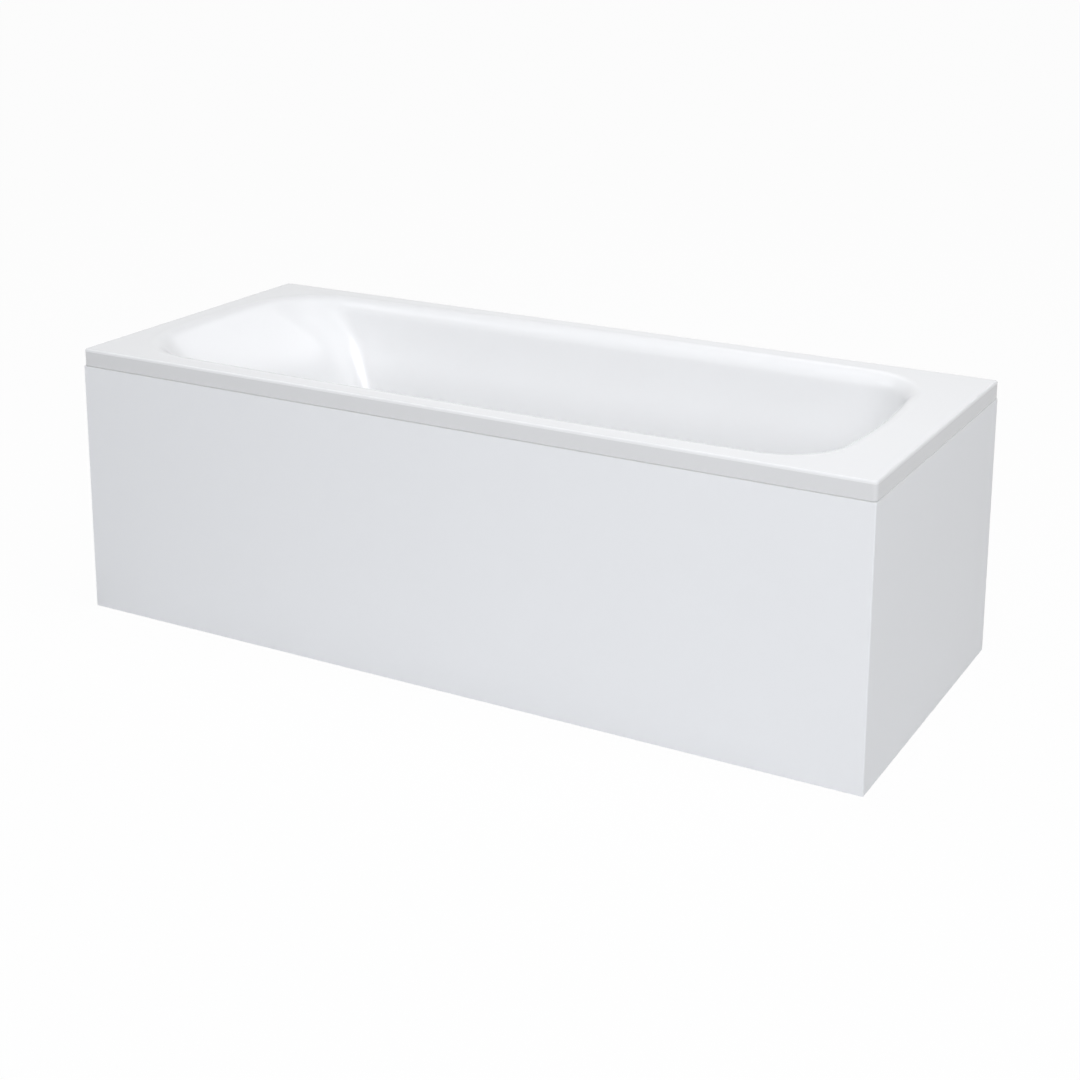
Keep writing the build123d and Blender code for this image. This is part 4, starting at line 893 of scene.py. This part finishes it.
def buildScrews():
    form = screwForm()
    for name, (places, ways) in screwPlaces().items():
        piece = grownPiece(name + "Crossed", form, sized(screws[name], screwSteel),
                           [Vector(place) * mm for place in places], [outward[way] for way in ways])
        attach(piece, "bath")
        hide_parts(name)


stud = {"Bottom": 4.3, "Collar Bottom": 18.3, "Collar Top": 26.3, "Top": 167.0,
        "Collar Radius": 14.0 / 2 / cos(radians(30)), "Radius": 6.0, "Pitch": 1.75, "Depth": 0.95}
pad = {"Inner": 11.0, "Outer": 20.5, "Bottom": 6.5, "Top": 13.5, "Thickness": 2.6}
padWebs = 8


def buildFeet():
    thread, webs = studForm(), webForm()
    for endName, x in zip(("head", "foot"), railXs):
        for sideName, y in zip(("front", "back"), studYs):
            corner = sideName + "_" + endName
            place = [(x * mm, y * mm, 0)]
            piece = grownPiece("stud_" + corner + "_threaded", thread, sized(stud, screwSteel), place)
            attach(piece, "stud_" + corner)
            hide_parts("foot_stud_" + corner)
            ribs = grownPiece("pad_" + corner + "_webs", webs,
                              {**sized(pad, padPlastic), "Count": padWebs}, place)
            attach(ribs, "pad_" + corner)


grips = {
    "trapNutRibs": {"at": (515, 0, 0), "way": "up",
                    "ribs": {"Radius": 31.0, "Bottom": 77.2, "Top": 86.8, "Rib Radius": 1.3}},
    "trapCapRibs": {"at": (515, 0, 0), "way": "up",
                    "ribs": {"Radius": 30.0, "Bottom": 14.2, "Top": 20.8, "Rib Radius": 1.3}},
    "outletNutRibs": {"at": (515, 0, 48), "way": "towardsBack",
                      "ribs": {"Radius": 30.0, "Bottom": 61.2, "Top": 74.8, "Rib Radius": 1.3}},
}
ribsPerNut = 30


def buildGrips():
    form = ribForm()
    for name, grip in grips.items():
        piece = grownPiece(name, form, {**sized(grip["ribs"], nutPlastic), "Count": ribsPerNut},
                           [Vector(grip["at"]) * mm], [outward[grip["way"]]])
        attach(piece, "bath")


ferrule = {"Radius": 3.6, "Length": 14.0, "Collar": 4.6}
cableEnds = [(0.77365, -0.024, 0.41373), (0.515, -0.046, 0.107)]


def buildFerrules():
    # The cable leaves the crank's lug downwards and enters the waste body from the front
    piece = grownPiece("cableFerrules", ferruleForm(), sized(ferrule, screwSteel), cableEnds,
                       [(pi, 0, 0), (pi / 2, 0, 0)])
    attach(piece, "bath")


buildScrews()
buildFeet()
buildGrips()
buildFerrules()
print("screws, feet, grips and ferrules grown")

# Floor, light and camera
studio = {"floor": 60.0, "floorTone": (0.88, 0.885, 0.89), "whiteShare": 0.97,
          "worldTone": (0.97, 0.985, 1.0), "worldLight": 0.08, "lampTone": (0.985, 0.99, 1.015)}


def seenBackground(tree):
    # 1 for what the camera, gloss and glass see, 0 for the light that falls on things
    path = put(tree, "LightPath")
    either = put(tree, "Math", {0: path.outputs["Is Camera Ray"], 1: path.outputs["Is Glossy Ray"]},
                 operation="MAXIMUM")
    return put(tree, "Math", {0: either.outputs[0], 1: path.outputs["Is Transmission Ray"]},
               operation="MAXIMUM").outputs[0]


def buildFloor():
    half = studio["floor"] / 2
    mesh = bpy.data.meshes.new("studioFloor")
    mesh.from_pydata([(-half, -half, 0), (half, -half, 0), (half, half, 0), (-half, half, 0)], [],
                     [(0, 1, 2, 3)])
    material = bpy.data.materials.new("studioFloor")
    material.use_nodes = True
    tree = material.node_tree
    tree.nodes.clear()
    output = put(tree, "OutputMaterial")
    paint = put(tree, "BsdfDiffuse", Color=colour(*studio["floorTone"]))
    white = put(tree, "Emission", Color=colour(1, 1, 1), Strength=1.0)
    share = put(tree, "Math", {0: seenBackground(tree), 1: studio["whiteShare"]}, operation="MULTIPLY")
    mix = put(tree, "MixShader", {0: share.outputs[0], 1: paint.outputs[0], 2: white.outputs[0]})
    tree.links.new(mix.outputs[0], output.inputs[0])
    mesh.materials.append(material)
    floor = newObject("studioFloor", mesh)


def buildWorld():
    world = bpy.data.worlds.new("studioWorld")
    world.use_nodes = True
    tree = world.node_tree
    tree.nodes.clear()
    output = put(tree, "OutputWorld")
    light = put(tree, "Background", Color=colour(*studio["worldTone"]), Strength=studio["worldLight"])
    seen = put(tree, "Background", Color=colour(1, 1, 1), Strength=1.0)
    mix = put(tree, "MixShader", {0: seenBackground(tree), 1: light.outputs[0], 2: seen.outputs[0]})
    tree.links.new(mix.outputs[0], output.inputs[0])
    scene.world = world


lamps = {
    "rightLamp": {"place": (2.9, -0.5, 3.0), "aim": (-0.4, 0, 0.3), "size": (1.6, 1.6), "power": 46.0,
                 "inGloss": False},
    "backLamp": {"place": (0.2, 2.6, 3.0), "aim": (0, 0, 0.4), "size": (3.0, 1.2), "power": 15.5,
                 "inGloss": True},
    "leftLamp": {"place": (-2.6, -0.8, 2.8), "aim": (0, 0, 0.4), "size": (1.6, 1.6), "power": 17.0,
                 "inGloss": True},
    "overLamp": {"place": (0, 0.1, 2.4), "aim": (0, 0, 0.3), "size": (2.0, 0.8), "power": 13.5,
                 "inGloss": False},
    "wideLamp": {"place": (1.2, -5.0, 2.6), "aim": (0.3, 0, 0.3), "size": (3.0, 2.0), "power": 140.0,
                 "inGloss": True},
}


def buildLamps():
    for name, lamp in lamps.items():
        data = bpy.data.lights.new(name, "AREA")
        data.shape = "RECTANGLE"
        data.size, data.size_y = lamp["size"]
        data.energy = lamp["power"]
        data.color = studio["lampTone"]
        light = bpy.data.objects.new(name, data)
        scene.collection.objects.link(light)
        light.location = lamp["place"]
        light.visible_glossy = lamp["inGloss"]
        away = Vector(lamp["place"]) - Vector(lamp["aim"])
        light.rotation_euler = away.to_track_quat("Z", "Y").to_euler()


camera = {"eye": (1.7919, -3.1742, 1.5597), "azimuth": 29.09, "elevation": 13.375, "roll": 0.188,
          "lens": 63.094, "shift": -0.2222}


def buildCamera():
    data = bpy.data.cameras.new("photoCamera")
    data.lens = camera["lens"]
    data.sensor_width = 36.0
    data.sensor_fit = "HORIZONTAL"
    data.shift_y = camera["shift"]
    data.clip_start, data.clip_end = 0.05, 60.0
    holder = bpy.data.objects.new("photoCamera", data)
    scene.collection.objects.link(holder)
    a, e, r = (radians(camera[key]) for key in ("azimuth", "elevation", "roll"))
    back = Vector((sin(a) * cos(e), -cos(a) * cos(e), sin(e)))
    right = Vector((0, 0, 1)).cross(back).normalized()
    up = back.cross(right)
    rolledRight = right * cos(r) + up * sin(r)
    rolledUp = up * cos(r) - right * sin(r)
    turn = Matrix((rolledRight, rolledUp, back)).transposed().to_4x4()
    holder.matrix_world = Matrix.Translation(Vector(camera["eye"])) @ turn
    scene.camera = holder


buildFloor()
buildWorld()
buildLamps()
buildCamera()
scene.view_settings.view_transform = "Standard"
print("studio ready")
